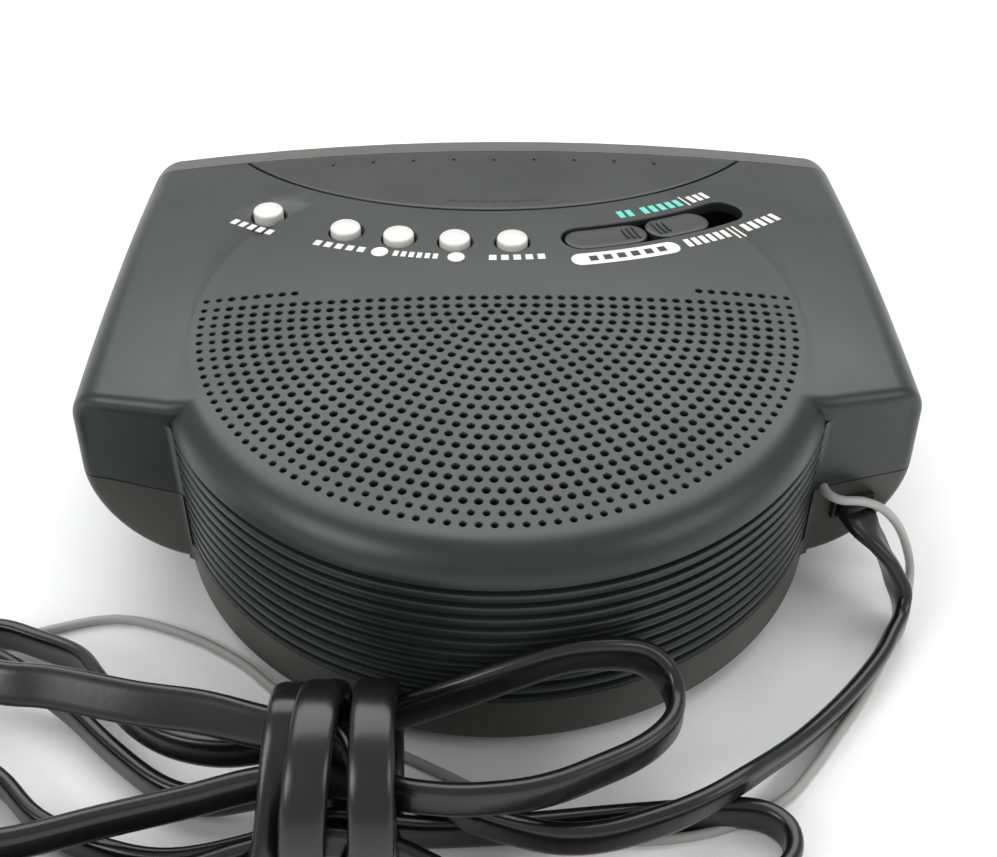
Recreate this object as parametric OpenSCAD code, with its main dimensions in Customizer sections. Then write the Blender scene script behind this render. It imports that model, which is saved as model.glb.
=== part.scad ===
// Clock radio with a round rear speaker drum. Millimetres, +Z up, the front faces -Y.
// The origin is on the table, under the middle of the case.

/* [Case] */
// Width across the side walls
body_w = 162; // [150:1:200]
// Height from the table to the top of the crown
body_h = 53; // [50:1:66]
// Depth from the front face to the back of the drum
body_d = 140; // [136:1:170]
// Radius of the rear drum
drum_r = 65.5; // [63:0.5:68]
// Thickness of the moulded walls
wall = 2.4; // [1.8:0.1:3]
// Radius of the domed top
crown_r = 580; // [450:10:900]
// Radius of the rounded drum rim
rim_r = 7; // [5:0.5:9]
// Radius of the curved undersides of the wings
belly_r = 19; // [14:0.5:19]
// Height of the wings' undersides above the table
belly_z = 9; // [7:0.5:12]
// Radius of the top side corners
corner_r = 7.5; // [5:0.5:9]
// How far the side walls lean in from the seam to the top
side_lean = 1.9; // [0:0.1:4]
// Height of the seam between the two covers
seam_z = 27.5; // [26.5:0.1:28.5]
// Gap left at every seam
seam_gap = 0.3; // [0.1:0.05:0.5]
// Distance of the wing roots behind the middle of the drum
wing_back = 25.5; // [22:0.5:30]
// Forward slope of the wings' rear faces, depth over width
wing_slope = 0.28; // [0.1:0.01:0.4]
// Depth of the front cabinet
cabinet_d = 8.5; // [8:0.5:12]
// Rounding of the front cabinet's edges
cabinet_round = 3; // [1:0.5:3.5]

/* [Drum ribs] */
// Number of grooves round the drum
groove_count = 10; // [6:1:10]
// Height of one groove
groove_h = 1.2; // [0.6:0.1:1.6]
// Depth of one groove
groove_depth = 1.1; // [0.5:0.1:1.3]
// Distance from one groove to the next
groove_pitch = 2.95; // [2.4:0.05:3]
// Height of the smooth band under the grooves
band_top = 14.2; // [13:0.1:15]
// Height of the recessed foot under the band
foot_h = 4; // [3:0.5:6]

/* [Grille] */
// Distance between rings of holes
hole_pitch = 2.5; // [2.2:0.1:2.6]
// Number of rings
ring_count = 23; // [16:1:23]
// Diameter of the holes
hole_d = 1.3; // [0.8:0.1:1.6]
// Radius of the open holes round the middle of the speaker
open_r = 22; // [10:1:24]

/* [Keys] */
// Radius of the arc that the keys and the switch slot lie on
key_arc_r = 83; // [82:0.5:84]
// Distance of that arc's centre in front of the middle of the drum
key_arc_back = 105.75; // [105:0.25:107]
// Angle between two neighbouring keys
key_step = 8.2; // [8:0.1:9]
// Diameter of the push buttons
button_d = 6.4; // [5:0.1:7.8]
// Height of a button above the cover
button_out = 1.9; // [1.5:0.1:3]
// Travel of a button
button_travel = 0.8; // [0.4:0.1:1]
// Gap round a button
button_gap = 0.35; // [0.25:0.05:0.6]
// Width of the switch slot
slot_w = 8.5; // [7.5:0.1:10]
// Gap between a switch knob and the slot
knob_gap = 0.45; // [0.3:0.05:0.6]
// Radius of the snooze bar's rear edge
snooze_r = 69.2; // [66:0.1:70]
// Travel of the snooze bar
snooze_travel = 1.2; // [0.6:0.1:1.4]

/* [Side controls] */
// Radius of the thumbwheels
wheel_r = 21; // [18:0.5:24]
// Thickness of the thumbwheels
wheel_t = 5; // [4:0.5:6]
// How far the thumbwheels stand out of the side walls
wheel_out = 2.5; // [1.5:0.5:3.5]
// Radius at which the dial cord runs on the tuning wheel
cord_drum_r = 13; // [12:0.5:14]
// Half of the tuning wheel's turn, in degrees
tuning_half_turn = 90; // [60:5:90]

/* [Front] */
// Width of the display window
window_w = 120; // [100:1:130]
// Height of the display window
window_h = 27; // [26:0.5:27]
// Width of the clock display
led_w = 68; // [60:1:76]

/* [Inside] */
// Diameter of the speaker
speaker_d = 66; // [57:1:68]
// Depth of the speaker from flange to magnet
speaker_depth = 22; // [20:1:22]
// Length of the nine volt battery
battery_l = 48.5; // [46:0.5:50]
// Width of the battery
battery_w = 26.5; // [25:0.5:27]
// Height of the battery
battery_h = 17.5; // [16:0.5:18]
// Diameter of the ferrite rod
rod_d = 8; // [6:0.5:9]
// Thickness of the circuit boards
board_t = 1.6; // [1:0.1:2]

/* [Hidden] */
$fn = 96;

// Main places, all measured from the origin
half_w = body_w / 2;
front_y = -body_d / 2;
drum_y = body_d / 2 - drum_r;
seam_y = front_y + cabinet_d;
ball_z = body_h - crown_r;
base_z = 1.5;
far = 200;

// Height of the domed surface, sunk by t, at a place on the case
function crown_z(x, y, t = 0) =
    ball_z + sqrt(pow(crown_r - t, 2) - x * x - pow(y - drum_y, 2));

// Section across the case
belly_x = half_w - belly_r;
belly_mid_z = belly_z + belly_r;
corner_x = half_w - side_lean - corner_r;
corner_z = crown_z(corner_x, drum_y) - corner_r;
lean_angle = atan2(side_lean, corner_z - belly_mid_z);
rim_z = crown_z(0, drum_y + drum_r - rim_r) - rim_r;

// Wings
wing_x = sqrt(drum_r * drum_r - wing_back * wing_back);
wing_angle = atan(wing_slope);
function wing_y(x) = drum_y + wing_back - wing_slope * (abs(x) - wing_x);

// Keys: an angle on the key arc grows from the middle towards -X
key_arc_y = drum_y - key_arc_back;
function key_x(a, r = key_arc_r) = -r * sin(a);
function key_y(a, r = key_arc_r) = key_arc_y + r * cos(a);
clock_a = 2.3;
hour_a = clock_a - key_step;
minute_a = clock_a - 2 * key_step;
alarm_a = clock_a - 3 * key_step;
sleep_a = -36.1;
KEY_ANGLES = [sleep_a, alarm_a, minute_a, hour_a, clock_a];
slot_a0 = 9.4;
slot_a1 = 39.4;
radio_a0 = 9.8;
radio_a1 = 21.4;
mode_a0 = 23.6;
mode_a1 = 32;
dish_r = 7;
dish_depth = 0.7;
button_floor = 1;

// Boards and what stands on them
key_board_z = body_h - 17;
key_board_top = key_board_z + board_t;
tact_h = 3.5;
tact_top = key_board_top + tact_h + 1.6;
snooze_post_y = seam_y + 9.5;
key_board_x = half_w - 21;
key_board_y0 = seam_y + 5.5;
key_board_y1 = drum_y - 17;
KEY_SCREWS = [[-55, -46], [55, -46], [-34, -15], [34, -15]];
main_board_z = 15;
main_board_top = main_board_z + board_t;
main_board_x = half_w - 11;
main_board_y0 = seam_y + 5.7;
main_board_y1 = -1;
BOARD_SCREWS = [[-50, -50], [50, -50], [-30, -8], [58, -4]];

// Thumbwheels
wheel_x = half_w + wheel_out - wheel_r;
wheel_y = -20;
wheel_z = seam_z - wheel_t / 2;
wheel_gap = 0.7;
wheel_bore_r = 2.5;
can_w = 15;
can_h = 5.6;
dial_cord_d = 0.5;
dial_cord_z = wheel_z - 1.2;
wheel_skirt_z = wheel_z - 2.2;
pointer_travel = cord_drum_r * tuning_half_turn * PI / 180;

// Front, from the front face backwards
window_z = (belly_z + crown_z(0, front_y)) / 2 - 0.6;
front_wall = 2.6;
lens_back = front_y + front_wall + 1.4;
pointer_y = lens_back + 0.6;
pointer_t = 0.7;
scale_y = pointer_y + pointer_t + 0.4;
scale_t = 0.5;
chassis_y = scale_y + scale_t;
chassis_t = 1.6;
led_h = 17;
led_z = window_z + window_h / 2 - led_h / 2;
led_back = front_y + 12.5;
scale_w = 62;
scale_h = 8;
scale_z = window_z - window_h / 2 + scale_h / 2 + 0.4;
pointer_foot_z = scale_z - scale_h / 2 - 1.4;
guide_r = 3;
guide_y = seam_y + 7.5;
cord_run_y = guide_y - guide_r - dial_cord_d / 2 - 0.05;
GUIDES = [[-38, guide_y], [40, guide_y]];

// Band switch
band_y = 10;
band_z = main_board_top + 2.4;
band_travel = 4;

// Speaker
speaker_y = drum_y + 22;
speaker_r = speaker_d / 2;
speaker_z = body_h - 6.1;
speaker_screw_r = speaker_r + 3;
SPEAKER_SCREWS = [for (a = [60, 120, 225, 315])
    [speaker_screw_r * cos(a), speaker_y + speaker_screw_r * sin(a)]];

// Battery and transformer
battery_y = drum_y + 35;
battery_z = base_z + 2.2;
door_w = battery_l + 4;
door_l = battery_w + 4;
door_t = 2;
trafo_w = 30;
trafo_l = 26;
trafo_h = 25;
trafo_x = -40;
trafo_y = drum_y + 9.5;
trafo_z = base_z + wall;

// Screws and feet
CASE_SCREWS = [[-66, -52], [66, -52], [-34, 48], [34, 48]];
screw_head_z = 14;
FEET = [[-40, -34], [40, -34], [-46, 34], [46, 34]];
foot_r = 5;

// Mains cord and antenna exits
cord_w = 7.4;
cord_t = 3.2;
cord_exit_x = -69;
cord_exit_y = wing_y(cord_exit_x);
cord_exit_z = 21.5;
relief_l = 20;
antenna_d = 1.8;
antenna_x = -62.5;
antenna_z = seam_z;

// Mains cord from inside the strain relief to the folded bundle
MAINS_ROUTE = [
    [-63, 6, 21.5], [-66, 17, 21.5], [-69, 27.5, 21.5], [-71, 32.5, 20], [-74, 35, 17],
    [-77, 37, 12], [-79, 39.5, 7], [-78.5, 43, 4.4], [-75.5, 47.5, 3.8], [-71.5, 53.5, 3.8],
    [-64, 61.5, 3.6], [-56, 68, 3], [-48, 73.5, 2]
];

// Folded bundle: right lobe, tie and left lobe
bundle_h = 32;
bundle_x0 = -26;
bundle_y = 76;
bundle_r = 24;
tie_x0 = 16.5;
tie_x1 = 39;
tie_y0 = 71;
tie_y1 = 106;
tie_h = 33.5;
bundle_h1 = 30;
bundle_x1 = 100;
bundle_y1 = 68;
bundle_r1 = 30;

// Plug, lying with its back against the bundle
plug_x = 129.9;
plug_y = 66;
plug_l = 26;
plug_w = 24;
plug_h = 13;
blade_l = 16;
blade_w = 6.3;
blade_t = 1.5;
blade_pitch = 12.7;

// Antenna wire from inside the case to its small coil
ANTENNA_ROUTE = [
    [-62.5, 23, 27.5], [-62.5, 30, 27.5], [-65, 32.5, 27], [-70, 31.5, 25.5], [-75, 29.5, 21.5],
    [-79.5, 28, 15.5], [-83, 27, 8], [-84.5, 28, 2.5], [-83, 33, 1], [-78, 43.5, 1],
    [-73, 52, 1], [-67.5, 60.5, 1], [-62, 67.5, 1], [-56, 75, 1], [-49, 82, 1], [-36, 88, 1],
    [-20, 89.5, 1], [-6, 85.5, 1], [8, 77, 1], [24, 68, 1], [41, 57.5, 1], [50, 49.5, 1],
    [61.5, 42.5, 1], [76.5, 38, 1], [93, 42, 1], [103, 45.5, 1], [114, 46, 1], [125, 42.5, 1],
    [131.5, 36, 1], [132.8, 28, 1]
];
antenna_coil_x = 122;
antenna_coil_y = 28;
antenna_coil_r = 10.8;

// ---------------------------------------------------------------- shared shapes

module at_cord_exit() {
    translate([cord_exit_x, cord_exit_y, cord_exit_z]) rotate([0, 0, wing_angle]) children();
}

module box(size, at) {
    translate([at[0] - size[0] / 2, at[1] - size[1] / 2, at[2]]) cube(size);
}

module rod_y(r, y0, y1, x, z) {
    translate([x, y1, z]) rotate([90, 0, 0]) cylinder(r = r, h = y1 - y0);
}

// Outline of the case seen from the front, moved inwards by t
module body_section(t) {
    for (side = [0, 1]) mirror([side, 0]) {
        translate([belly_x, belly_mid_z]) circle(r = belly_r - t);
        translate([corner_x, corner_z]) circle(r = corner_r - t);
        polygon([
            [0, belly_z + t],
            [belly_x, belly_z + t],
            [belly_x + belly_r - t, belly_mid_z],
            [corner_x + (corner_r - t) * cos(lean_angle), corner_z + (corner_r - t) * sin(lean_angle)],
            [corner_x, corner_z + corner_r - t],
            [0, body_h + 5]
        ]);
    }
}

// Plan of the main block, moved inwards by t at the wings
module plan_outline(t, y0) {
    back = t / cos(wing_angle);
    polygon([
        [-far, y0], [far, y0], [far, wing_y(far) - back], [0, wing_y(0) - back], [-far, wing_y(far) - back]
    ]);
}

module block(t, y0) {
    intersection() {
        translate([0, drum_y + drum_r, 0]) rotate([90, 0, 0]) linear_extrude(body_d) body_section(t);
        linear_extrude(far) plan_outline(t, y0);
    }
}

// Half outline of the drum, moved inwards by t
module drum_profile(t) {
    polygon([
        [0, base_z + t],
        [drum_r - 1.5 - t, base_z + t],
        [drum_r - 1.5 - t, foot_h + t],
        [drum_r - t, foot_h + t],
        [drum_r - t, rim_z],
        [drum_r - rim_r, rim_z + rim_r - t],
        [0, body_h + 5]
    ]);
    intersection() {
        translate([drum_r - rim_r, rim_z]) circle(r = rim_r - t);
        square([drum_r, body_h]);
    }
}

module drum(t) {
    translate([0, drum_y, 0]) rotate_extrude() drum_profile(t);
}

module crown_ball(t) {
    translate([0, drum_y, ball_z]) sphere(r = crown_r - t, $fn = 256);
}

// The whole case without the front cabinet, moved inwards by t
module form(t, y0 = seam_y) {
    intersection() {
        union() {
            block(t, y0);
            drum(t);
        }
        crown_ball(t);
    }
}

module case_shell() {
    difference() {
        form(0);
        form(wall, seam_y - 5);
    }
}

// Space of the top cover: above the seam, and down to the band round the drum
module upper_zone(g) {
    translate([-far, -far, seam_z + g]) cube([2 * far, 2 * far, far]);
    intersection() {
        translate([0, drum_y, band_top + g]) cylinder(r = drum_r + 0.5 - g, h = far);
        translate([-far, drum_y + wing_back - 4 + g, 0]) cube([2 * far, far, far]);
    }
}

module ring_sector(r0, r1, a0, a1, h) {
    spread = a1 - a0;
    translate([0, key_arc_y, 0]) rotate([0, 0, 90 + a0]) rotate_extrude(angle = spread)
        translate([r0, 0]) square([r1 - r0, h]);
}

// The curved switch slot, cut upwards
module slot_cut() {
    r = slot_w / 2;
    ring_sector(key_arc_r - r, key_arc_r + r, slot_a0, slot_a1, far);
}

module snooze_plan(r, y0, h = far) {
    intersection() {
        translate([0, key_arc_y, 0]) cylinder(r = r, h = h, $fn = 256);
        translate([-far, y0, 0]) cube([2 * far, far, h]);
    }
}

// A layer of the dome between two depths
module crown_layer(t0, t1) {
    difference() {
        crown_ball(t0);
        crown_ball(t1);
    }
}

module rounded_plate(w, h, r, y0, y1, z) {
    translate([0, y1, z]) rotate([90, 0, 0]) linear_extrude(y1 - y0) {
        square([w - 2 * r, h], center = true);
        square([w, h - 2 * r], center = true);
        for (x = [-1, 1], y = [-1, 1]) translate([x * (w / 2 - r), y * (h / 2 - r)]) circle(r = r);
    }
}

// ---------------------------------------------------------------- case

module grille_holes() {
    for (k = [0:ring_count], j = [0:3 * k]) {
        a = k > 0 ? j * 60 / k : 0;
        x = k * hole_pitch * cos(a);
        y = drum_y + k * hole_pitch * sin(a);
        if (norm([x, y - speaker_y]) < open_r) translate([x, y]) circle(d = hole_d, $fn = 16);
    }
}

module drum_grooves() {
    top = rim_z - 0.2;
    intersection() {
        translate([0, drum_y, 0]) rotate_extrude()
            for (k = [0:groove_count - 1])
                translate([drum_r - groove_depth, top - groove_h - k * groove_pitch])
                    square([groove_depth + 2, groove_h]);
        translate([-far, drum_y + wing_back - 0.2, 0]) cube([2 * far, far, far]);
    }
}

module post(x, y, z0, z1, r) {
    translate([x, y, z0]) cylinder(r = r, h = z1 - z0);
}

module wheel_slots() {
    for (s = [-1, 1])
        translate([s * wheel_x, wheel_y, wheel_skirt_z - 0.6])
            cylinder(r = wheel_r + wheel_gap, h = wheel_t + 2.8 + wheel_gap);
}

module cord_slot() {
    at_cord_exit() translate([-cord_w / 2 - 0.7, -6, -cord_t / 2 - 0.7])
        cube([cord_w + 1.4, 12, seam_z - cord_exit_z + cord_t / 2 + 0.7]);
}

module antenna_hole() {
    rod_y(antenna_d / 2 + 0.3, wing_y(antenna_x) - 8, wing_y(antenna_x) + 4, antenna_x, antenna_z);
}

module top_cover() {
    color([0.22, 0.235, 0.25]) difference() {
        union() {
            intersection() {
                case_shell();
                upper_zone(seam_gap / 2);
            }
            intersection() {
                union() {
                    for (p = CASE_SCREWS) post(p[0], p[1], seam_z + 0.2, far, 3.6);
                    for (p = KEY_SCREWS) post(p[0], p[1], key_board_top, far, 3);
                    for (p = SPEAKER_SCREWS) post(p[0], p[1], speaker_z, far, 3);
                    translate([0, speaker_y, speaker_z - 0.6]) difference() {
                        cylinder(r = speaker_r + 2, h = far);
                        translate([0, 0, -1]) cylinder(r = speaker_r + 0.4, h = far);
                    }
                }
                form(wall / 2);
            }
        }
        drum_grooves();
        wheel_slots();
        antenna_hole();
        for (a = KEY_ANGLES)
            post(key_x(a), key_y(a), key_board_top + tact_h, far, button_d / 2 + button_gap);
        sleep_z = crown_z(key_x(sleep_a), key_y(sleep_a));
        dish_ball = (dish_r * dish_r + dish_depth * dish_depth) / (2 * dish_depth);
        translate([key_x(sleep_a), key_y(sleep_a), sleep_z - dish_depth + dish_ball])
            sphere(r = dish_ball, $fn = 128);
        translate([0, 0, seam_z + 8]) slot_cut();
        translate([0, 0, seam_z + 8]) snooze_plan(snooze_r, seam_y - 5);
        for (p = CASE_SCREWS) post(p[0], p[1], seam_z - 1, seam_z + 12, 1.3);
        for (p = KEY_SCREWS) post(p[0], p[1], key_board_top - 1, key_board_top + 6, 1);
        for (p = SPEAKER_SCREWS) post(p[0], p[1], speaker_z - 1, speaker_z + 2.6, 1);
        translate([0, 0, speaker_z - 1]) linear_extrude(far) grille_holes();
    }
}

module bottom_cover() {
    color([0.34, 0.34, 0.33]) difference() {
        union() {
            difference() {
                case_shell();
                upper_zone(-seam_gap / 2);
            }
            intersection() {
                union() {
                    for (p = CASE_SCREWS) post(p[0], p[1], 0, seam_z - 0.2, 4);
                    for (p = BOARD_SCREWS) post(p[0], p[1], 0, main_board_z, 3);
                    box([door_w + 3.6, door_l + 3.6, battery_h + 3.8], [0, battery_y, base_z]);
                }
                form(wall / 2);
            }
        }
        wheel_slots();
        antenna_hole();
        cord_slot();
        for (p = CASE_SCREWS) {
            post(p[0], p[1], -1, screw_head_z, 3.2);
            post(p[0], p[1], 0, seam_z + 1, 1.6);
        }
        for (p = BOARD_SCREWS) post(p[0], p[1], main_board_z - 7, main_board_z + 1, 1);
        for (p = FEET) post(p[0], p[1], 0, base_z + 0.4, foot_r);
        box([door_w + 0.6, door_l + 0.6, battery_z + battery_h + 0.2], [0, battery_y, 0]);
        door_pins(0.06, 1.2);
        box([20, band_travel + 3.2, 3.6], [half_w - 6, band_y, band_z - 1.8]);
    }
}

// A thin slice across the front cabinet, moved inwards by t
module cabinet_slice(y, t) {
    translate([0, y, 0]) rotate([90, 0, 0]) linear_extrude(0.2) intersection() {
        body_section(t, $fn = 32);
        polygon([
            [far, -far], [far, crown_z(far, y, t)],
            for (x = [72:-12:-72]) [x, crown_z(x, y, t)],
            [-far, crown_z(far, y, t)], [-far, -far]
        ]);
    }
}

module front_cabinet() {
    color([0.37, 0.36, 0.34]) difference() {
        hull() {
            cabinet_slice(seam_y - seam_gap, 0);
            for (a = [0:30:90])
                cabinet_slice(front_y + 0.2 + cabinet_round * (1 - cos(a)), cabinet_round * (1 - sin(a)));
        }
        intersection() {
            translate([0, seam_y + 1, 0]) rotate([90, 0, 0])
                linear_extrude(cabinet_d + 1 - front_wall) body_section(wall);
            crown_ball(wall);
        }
        rounded_plate(window_w, window_h, 3, front_y - 1, seam_y, window_z);
        rounded_plate(window_w + 3, window_h + 3, 4.5, front_y - 1, front_y + 0.6, window_z);
    }
}

module rubber_feet() {
    color([0.08, 0.08, 0.08]) for (p = FEET) post(p[0], p[1], 0, base_z + 0.4, foot_r - 0.05);
}

module case_screws() {
    color([0.62, 0.62, 0.64]) for (p = CASE_SCREWS) difference() {
        union() {
            post(p[0], p[1], screw_head_z - 2, screw_head_z, 2.9);
            post(p[0], p[1], screw_head_z - 1, seam_z + 11, 1.3);
        }
        for (a = [0, 90]) translate([p[0], p[1], screw_head_z - 2]) rotate([0, 0, a])
            cube([3.2, 0.7, 1.6], center = true);
    }
}

// ---------------------------------------------------------------- keys

module snooze_bar() {
    r = snooze_r - 0.4;
    y0 = seam_y + 0.1;
    color([0.24, 0.25, 0.265]) {
        intersection() {
            crown_layer(0, 2.2);
            snooze_plan(r, y0);
        }
        intersection() {
            crown_layer(1, 4.4);
            difference() {
                snooze_plan(r, y0);
                translate([0, 0, -1]) snooze_plan(r - 1.4, y0 - 1, far + 2);
            }
        }
        intersection() {
            crown_layer(3.2, 4.4);
            difference() {
                snooze_plan(r + 2.4, y0);
                translate([0, 0, -1]) snooze_plan(r - 1.4, y0 - 1, far + 2);
            }
        }
        post(0, snooze_post_y, tact_top + snooze_travel + 0.1, crown_z(0, snooze_post_y, 1.2), 2.4);
    }
}

module button(a) {
    x = key_x(a);
    y = key_y(a);
    z = crown_z(x, y);
    under = z - wall - 1.2;
    color([0.9, 0.9, 0.86]) {
        intersection() {
            post(x, y, under, z + button_out, button_d / 2);
            translate([x, y, z + button_out - button_d]) sphere(r = button_d);
        }
        post(x, y, under - button_floor, under, button_d / 2 + 0.9);
        post(x, y, tact_top + button_travel + 0.1, under, 1.8);
    }
}

module sleep_button() {
    button(sleep_a);
}

module alarm_button() {
    button(alarm_a);
}

module minute_button() {
    button(minute_a);
}

module hour_button() {
    button(hour_a);
}

module clock_button() {
    button(clock_a);
}

// A knob that rides in the curved slot, with a raised ridge at its far end
module slot_knob(a0, a1) {
    r = slot_w / 2 - knob_gap;
    mid = (a0 + a1) / 2;
    ridge = 1.1;
    intersection() {
        crown_layer(0.5, 4);
        ring_sector(key_arc_r - r, key_arc_r + r, a0, a1, far);
    }
    intersection() {
        crown_layer(3, 4);
        ring_sector(key_arc_r - r - 1.4, key_arc_r + r + 1.4, a0, a1, far);
    }
    intersection() {
        crown_layer(-1, 1);
        ring_sector(key_arc_r - r + 0.3, key_arc_r + r - 0.3, a1 - ridge, a1 - 0.1, far);
    }
    post(key_x(mid), key_y(mid), key_board_top + 3.6, crown_z(key_x(mid), key_y(mid), 3.5), 1.4);
}

module radio_switch_knob() {
    color([0.2, 0.21, 0.225]) slot_knob(radio_a0, radio_a1);
}

module alarm_mode_knob() {
    color([0.2, 0.21, 0.225]) slot_knob(mode_a0, mode_a1);
}

module slide_switches() {
    color([0.55, 0.56, 0.58])
        for (a = [(radio_a0 + radio_a1) / 2 + 1, (mode_a0 + mode_a1) / 2 + 2])
            translate([key_x(a), key_y(a), key_board_top + 1.7]) rotate([0, 0, a])
                cube([13, 6, 3.4], center = true);
}

module tact_switches() {
    color([0.12, 0.12, 0.12]) {
        for (a = KEY_ANGLES) tact_switch(key_x(a), key_y(a));
        tact_switch(0, snooze_post_y);
    }
}

module tact_switch(x, y) {
    box([6, 6, tact_h], [x, y, key_board_top]);
    post(x, y, key_board_top + tact_h, tact_top, 1.7);
}

module key_board() {
    color([0.55, 0.42, 0.2]) difference() {
        translate([-key_board_x, key_board_y0, key_board_z])
            cube([2 * key_board_x, key_board_y1 - key_board_y0, board_t]);
        for (p = KEY_SCREWS) post(p[0], p[1], 0, far, 1.3);
    }
}

module key_board_screws() {
    color([0.62, 0.62, 0.64]) for (p = KEY_SCREWS) {
        post(p[0], p[1], key_board_z - 1.6, key_board_z, 2.5);
        post(p[0], p[1], key_board_z - 0.5, key_board_top + 5.5, 1);
    }
}

// ---------------------------------------------------------------- front display and dial

module display_window() {
    color([0.16, 0.05, 0.05, 0.6]) {
        rounded_plate(window_w - 0.4, window_h - 0.4, 2.8, front_y + 0.8, lens_back, window_z);
        rounded_plate(window_w + 3, window_h + 3, 4, front_y + front_wall + 0.05, lens_back, window_z);
    }
}

module dial_chassis() {
    color([0.07, 0.07, 0.07]) difference() {
        rounded_plate(window_w + 2, window_h + 4, 4, chassis_y, chassis_y + chassis_t, window_z);
        translate([-led_w / 2 - 0.3, chassis_y - 1, led_z - led_h / 2 - 0.3])
            cube([led_w + 0.6, 5, led_h + 0.6]);
        translate([-pointer_travel - 2, chassis_y - 1, pointer_foot_z - 0.3])
            cube([2 * pointer_travel + 4, 5, 1.4]);
    }
}

module dial_scale() {
    color([0.85, 0.85, 0.8])
        translate([-scale_w / 2, scale_y, scale_z - scale_h / 2]) cube([scale_w, scale_t, scale_h]);
}

module led_display() {
    color([0.12, 0.02, 0.02])
        translate([-led_w / 2, chassis_y - 1.6, led_z - led_h / 2])
            cube([led_w, led_back - chassis_y + 1.6, led_h]);
}

module dial_pointer() {
    top = scale_z + scale_h / 2 - 0.5;
    riser_y = cord_run_y - 0.9;
    color([0.85, 0.3, 0.12]) difference() {
        union() {
            translate([-0.4, pointer_y, pointer_foot_z])
                cube([0.8, pointer_t, top - pointer_foot_z]);
            translate([-1.5, pointer_y, pointer_foot_z]) cube([3, riser_y + 1.8 - pointer_y, 0.8]);
            translate([-1.5, riser_y, pointer_foot_z]) cube([3, 1.8, dial_cord_z + 0.7 - pointer_foot_z]);
        }
        translate([0, cord_run_y, dial_cord_z])
            cube([4, dial_cord_d + 0.2, dial_cord_d + 0.2], center = true);
    }
}

// Dial cord: a loop round the tuning wheel's drum and two guide posts
CORD_ROUNDS = [
    [wheel_x, wheel_y, cord_drum_r],
    [GUIDES[0][0], GUIDES[0][1], guide_r + dial_cord_d / 2 + 0.05],
    [GUIDES[1][0], GUIDES[1][1], guide_r + dial_cord_d / 2 + 0.05]
];

module cord_loop_plan(g) {
    hull() for (p = CORD_ROUNDS) translate([p[0], p[1]]) circle(r = p[2] + g, $fn = 48);
}

module dial_cord() {
    color([0.8, 0.78, 0.7]) translate([0, 0, dial_cord_z - dial_cord_d / 2])
        linear_extrude(dial_cord_d) difference() {
            cord_loop_plan(dial_cord_d / 2);
            cord_loop_plan(-dial_cord_d / 2);
        }
}

module cord_guides() {
    color([0.75, 0.75, 0.72]) for (p = GUIDES) {
        post(p[0], p[1], main_board_top, dial_cord_z + 1.2, guide_r);
        post(p[0], p[1], dial_cord_z - 1.1, dial_cord_z - 0.5, guide_r + 0.9);
        post(p[0], p[1], dial_cord_z + 0.5, dial_cord_z + 1.2, guide_r + 0.9);
    }
}

// ---------------------------------------------------------------- thumbwheels and band switch

module thumbwheel(side) {
    notches = 72;
    difference() {
        post(side * wheel_x, wheel_y, wheel_z, wheel_z + wheel_t, wheel_r);
        for (k = [0:notches - 1])
            translate([side * wheel_x, wheel_y, 0]) rotate([0, 0, k * 360 / notches])
                translate([wheel_r + 0.2, 0, 0]) cylinder(r = 0.6, h = far, $fn = 16);
        post(side * wheel_x, wheel_y, 0, far, wheel_bore_r);
        translate([side * wheel_x, wheel_y, wheel_z + wheel_t - 1]) difference() {
            cylinder(r = wheel_r - 3, h = 2);
            translate([0, 0, -1]) cylinder(r = 6, h = 4);
        }
    }
}

module tuning_wheel() {
    color([0.15, 0.15, 0.16]) {
        thumbwheel(1);
        difference() {
            union() {
                post(wheel_x, wheel_y, wheel_skirt_z, wheel_z + 0.5, cord_drum_r - dial_cord_d / 2 - 0.05);
                post(wheel_x, wheel_y, wheel_skirt_z, wheel_skirt_z + 0.6, cord_drum_r + 1);
            }
            post(wheel_x, wheel_y, 0, wheel_z, cord_drum_r - 1.6);
            post(wheel_x, wheel_y, 0, far, wheel_bore_r);
        }
    }
}

module volume_wheel() {
    color([0.15, 0.15, 0.16]) thumbwheel(-1);
}

module wheel_shaft(side) {
    color([0.7, 0.68, 0.6]) difference() {
        post(side * wheel_x, wheel_y, main_board_top + 1.4, wheel_z + wheel_t - 0.2, wheel_bore_r);
        post(side * wheel_x, wheel_y, wheel_z, far, 1);
    }
}

module wheel_screw(side) {
    color([0.62, 0.62, 0.64]) {
        post(side * wheel_x, wheel_y, wheel_z + wheel_t, wheel_z + wheel_t + 1.5, 3.2);
        post(side * wheel_x, wheel_y, wheel_z + 0.5, wheel_z + wheel_t + 0.5, 1);
    }
}

module wheel_can(side) {
    difference() {
        box([can_w, can_w, can_h], [side * wheel_x, wheel_y, main_board_top]);
        post(side * wheel_x, wheel_y, main_board_top + 1.3, far, wheel_bore_r + 0.06);
    }
}

module tuning_shaft() {
    wheel_shaft(1);
}

module volume_shaft() {
    wheel_shaft(-1);
}

module tuning_wheel_screw() {
    wheel_screw(1);
}

module volume_wheel_screw() {
    wheel_screw(-1);
}

module tuning_capacitor() {
    color([0.82, 0.8, 0.72]) wheel_can(1);
}

module volume_pot() {
    color([0.25, 0.3, 0.4]) wheel_can(-1);
}

module band_switch() {
    color([0.6, 0.6, 0.62]) difference() {
        box([6.5, 13, 4.8], [main_board_x - 3.4, band_y, main_board_top]);
        box([3, band_travel + 3.2, 2.8], [main_board_x, band_y, band_z - 1.4]);
    }
}

module band_switch_knob() {
    out_x = belly_x + sqrt(pow(belly_r, 2) - pow(belly_mid_z - band_z, 2)) + 1.6;
    x0 = main_board_x - 1.2;
    color([0.15, 0.15, 0.16])
        translate([x0, band_y - band_travel / 2 - 1.3, band_z - 1.2]) cube([out_x - x0, 2.6, 2.4]);
}

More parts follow.
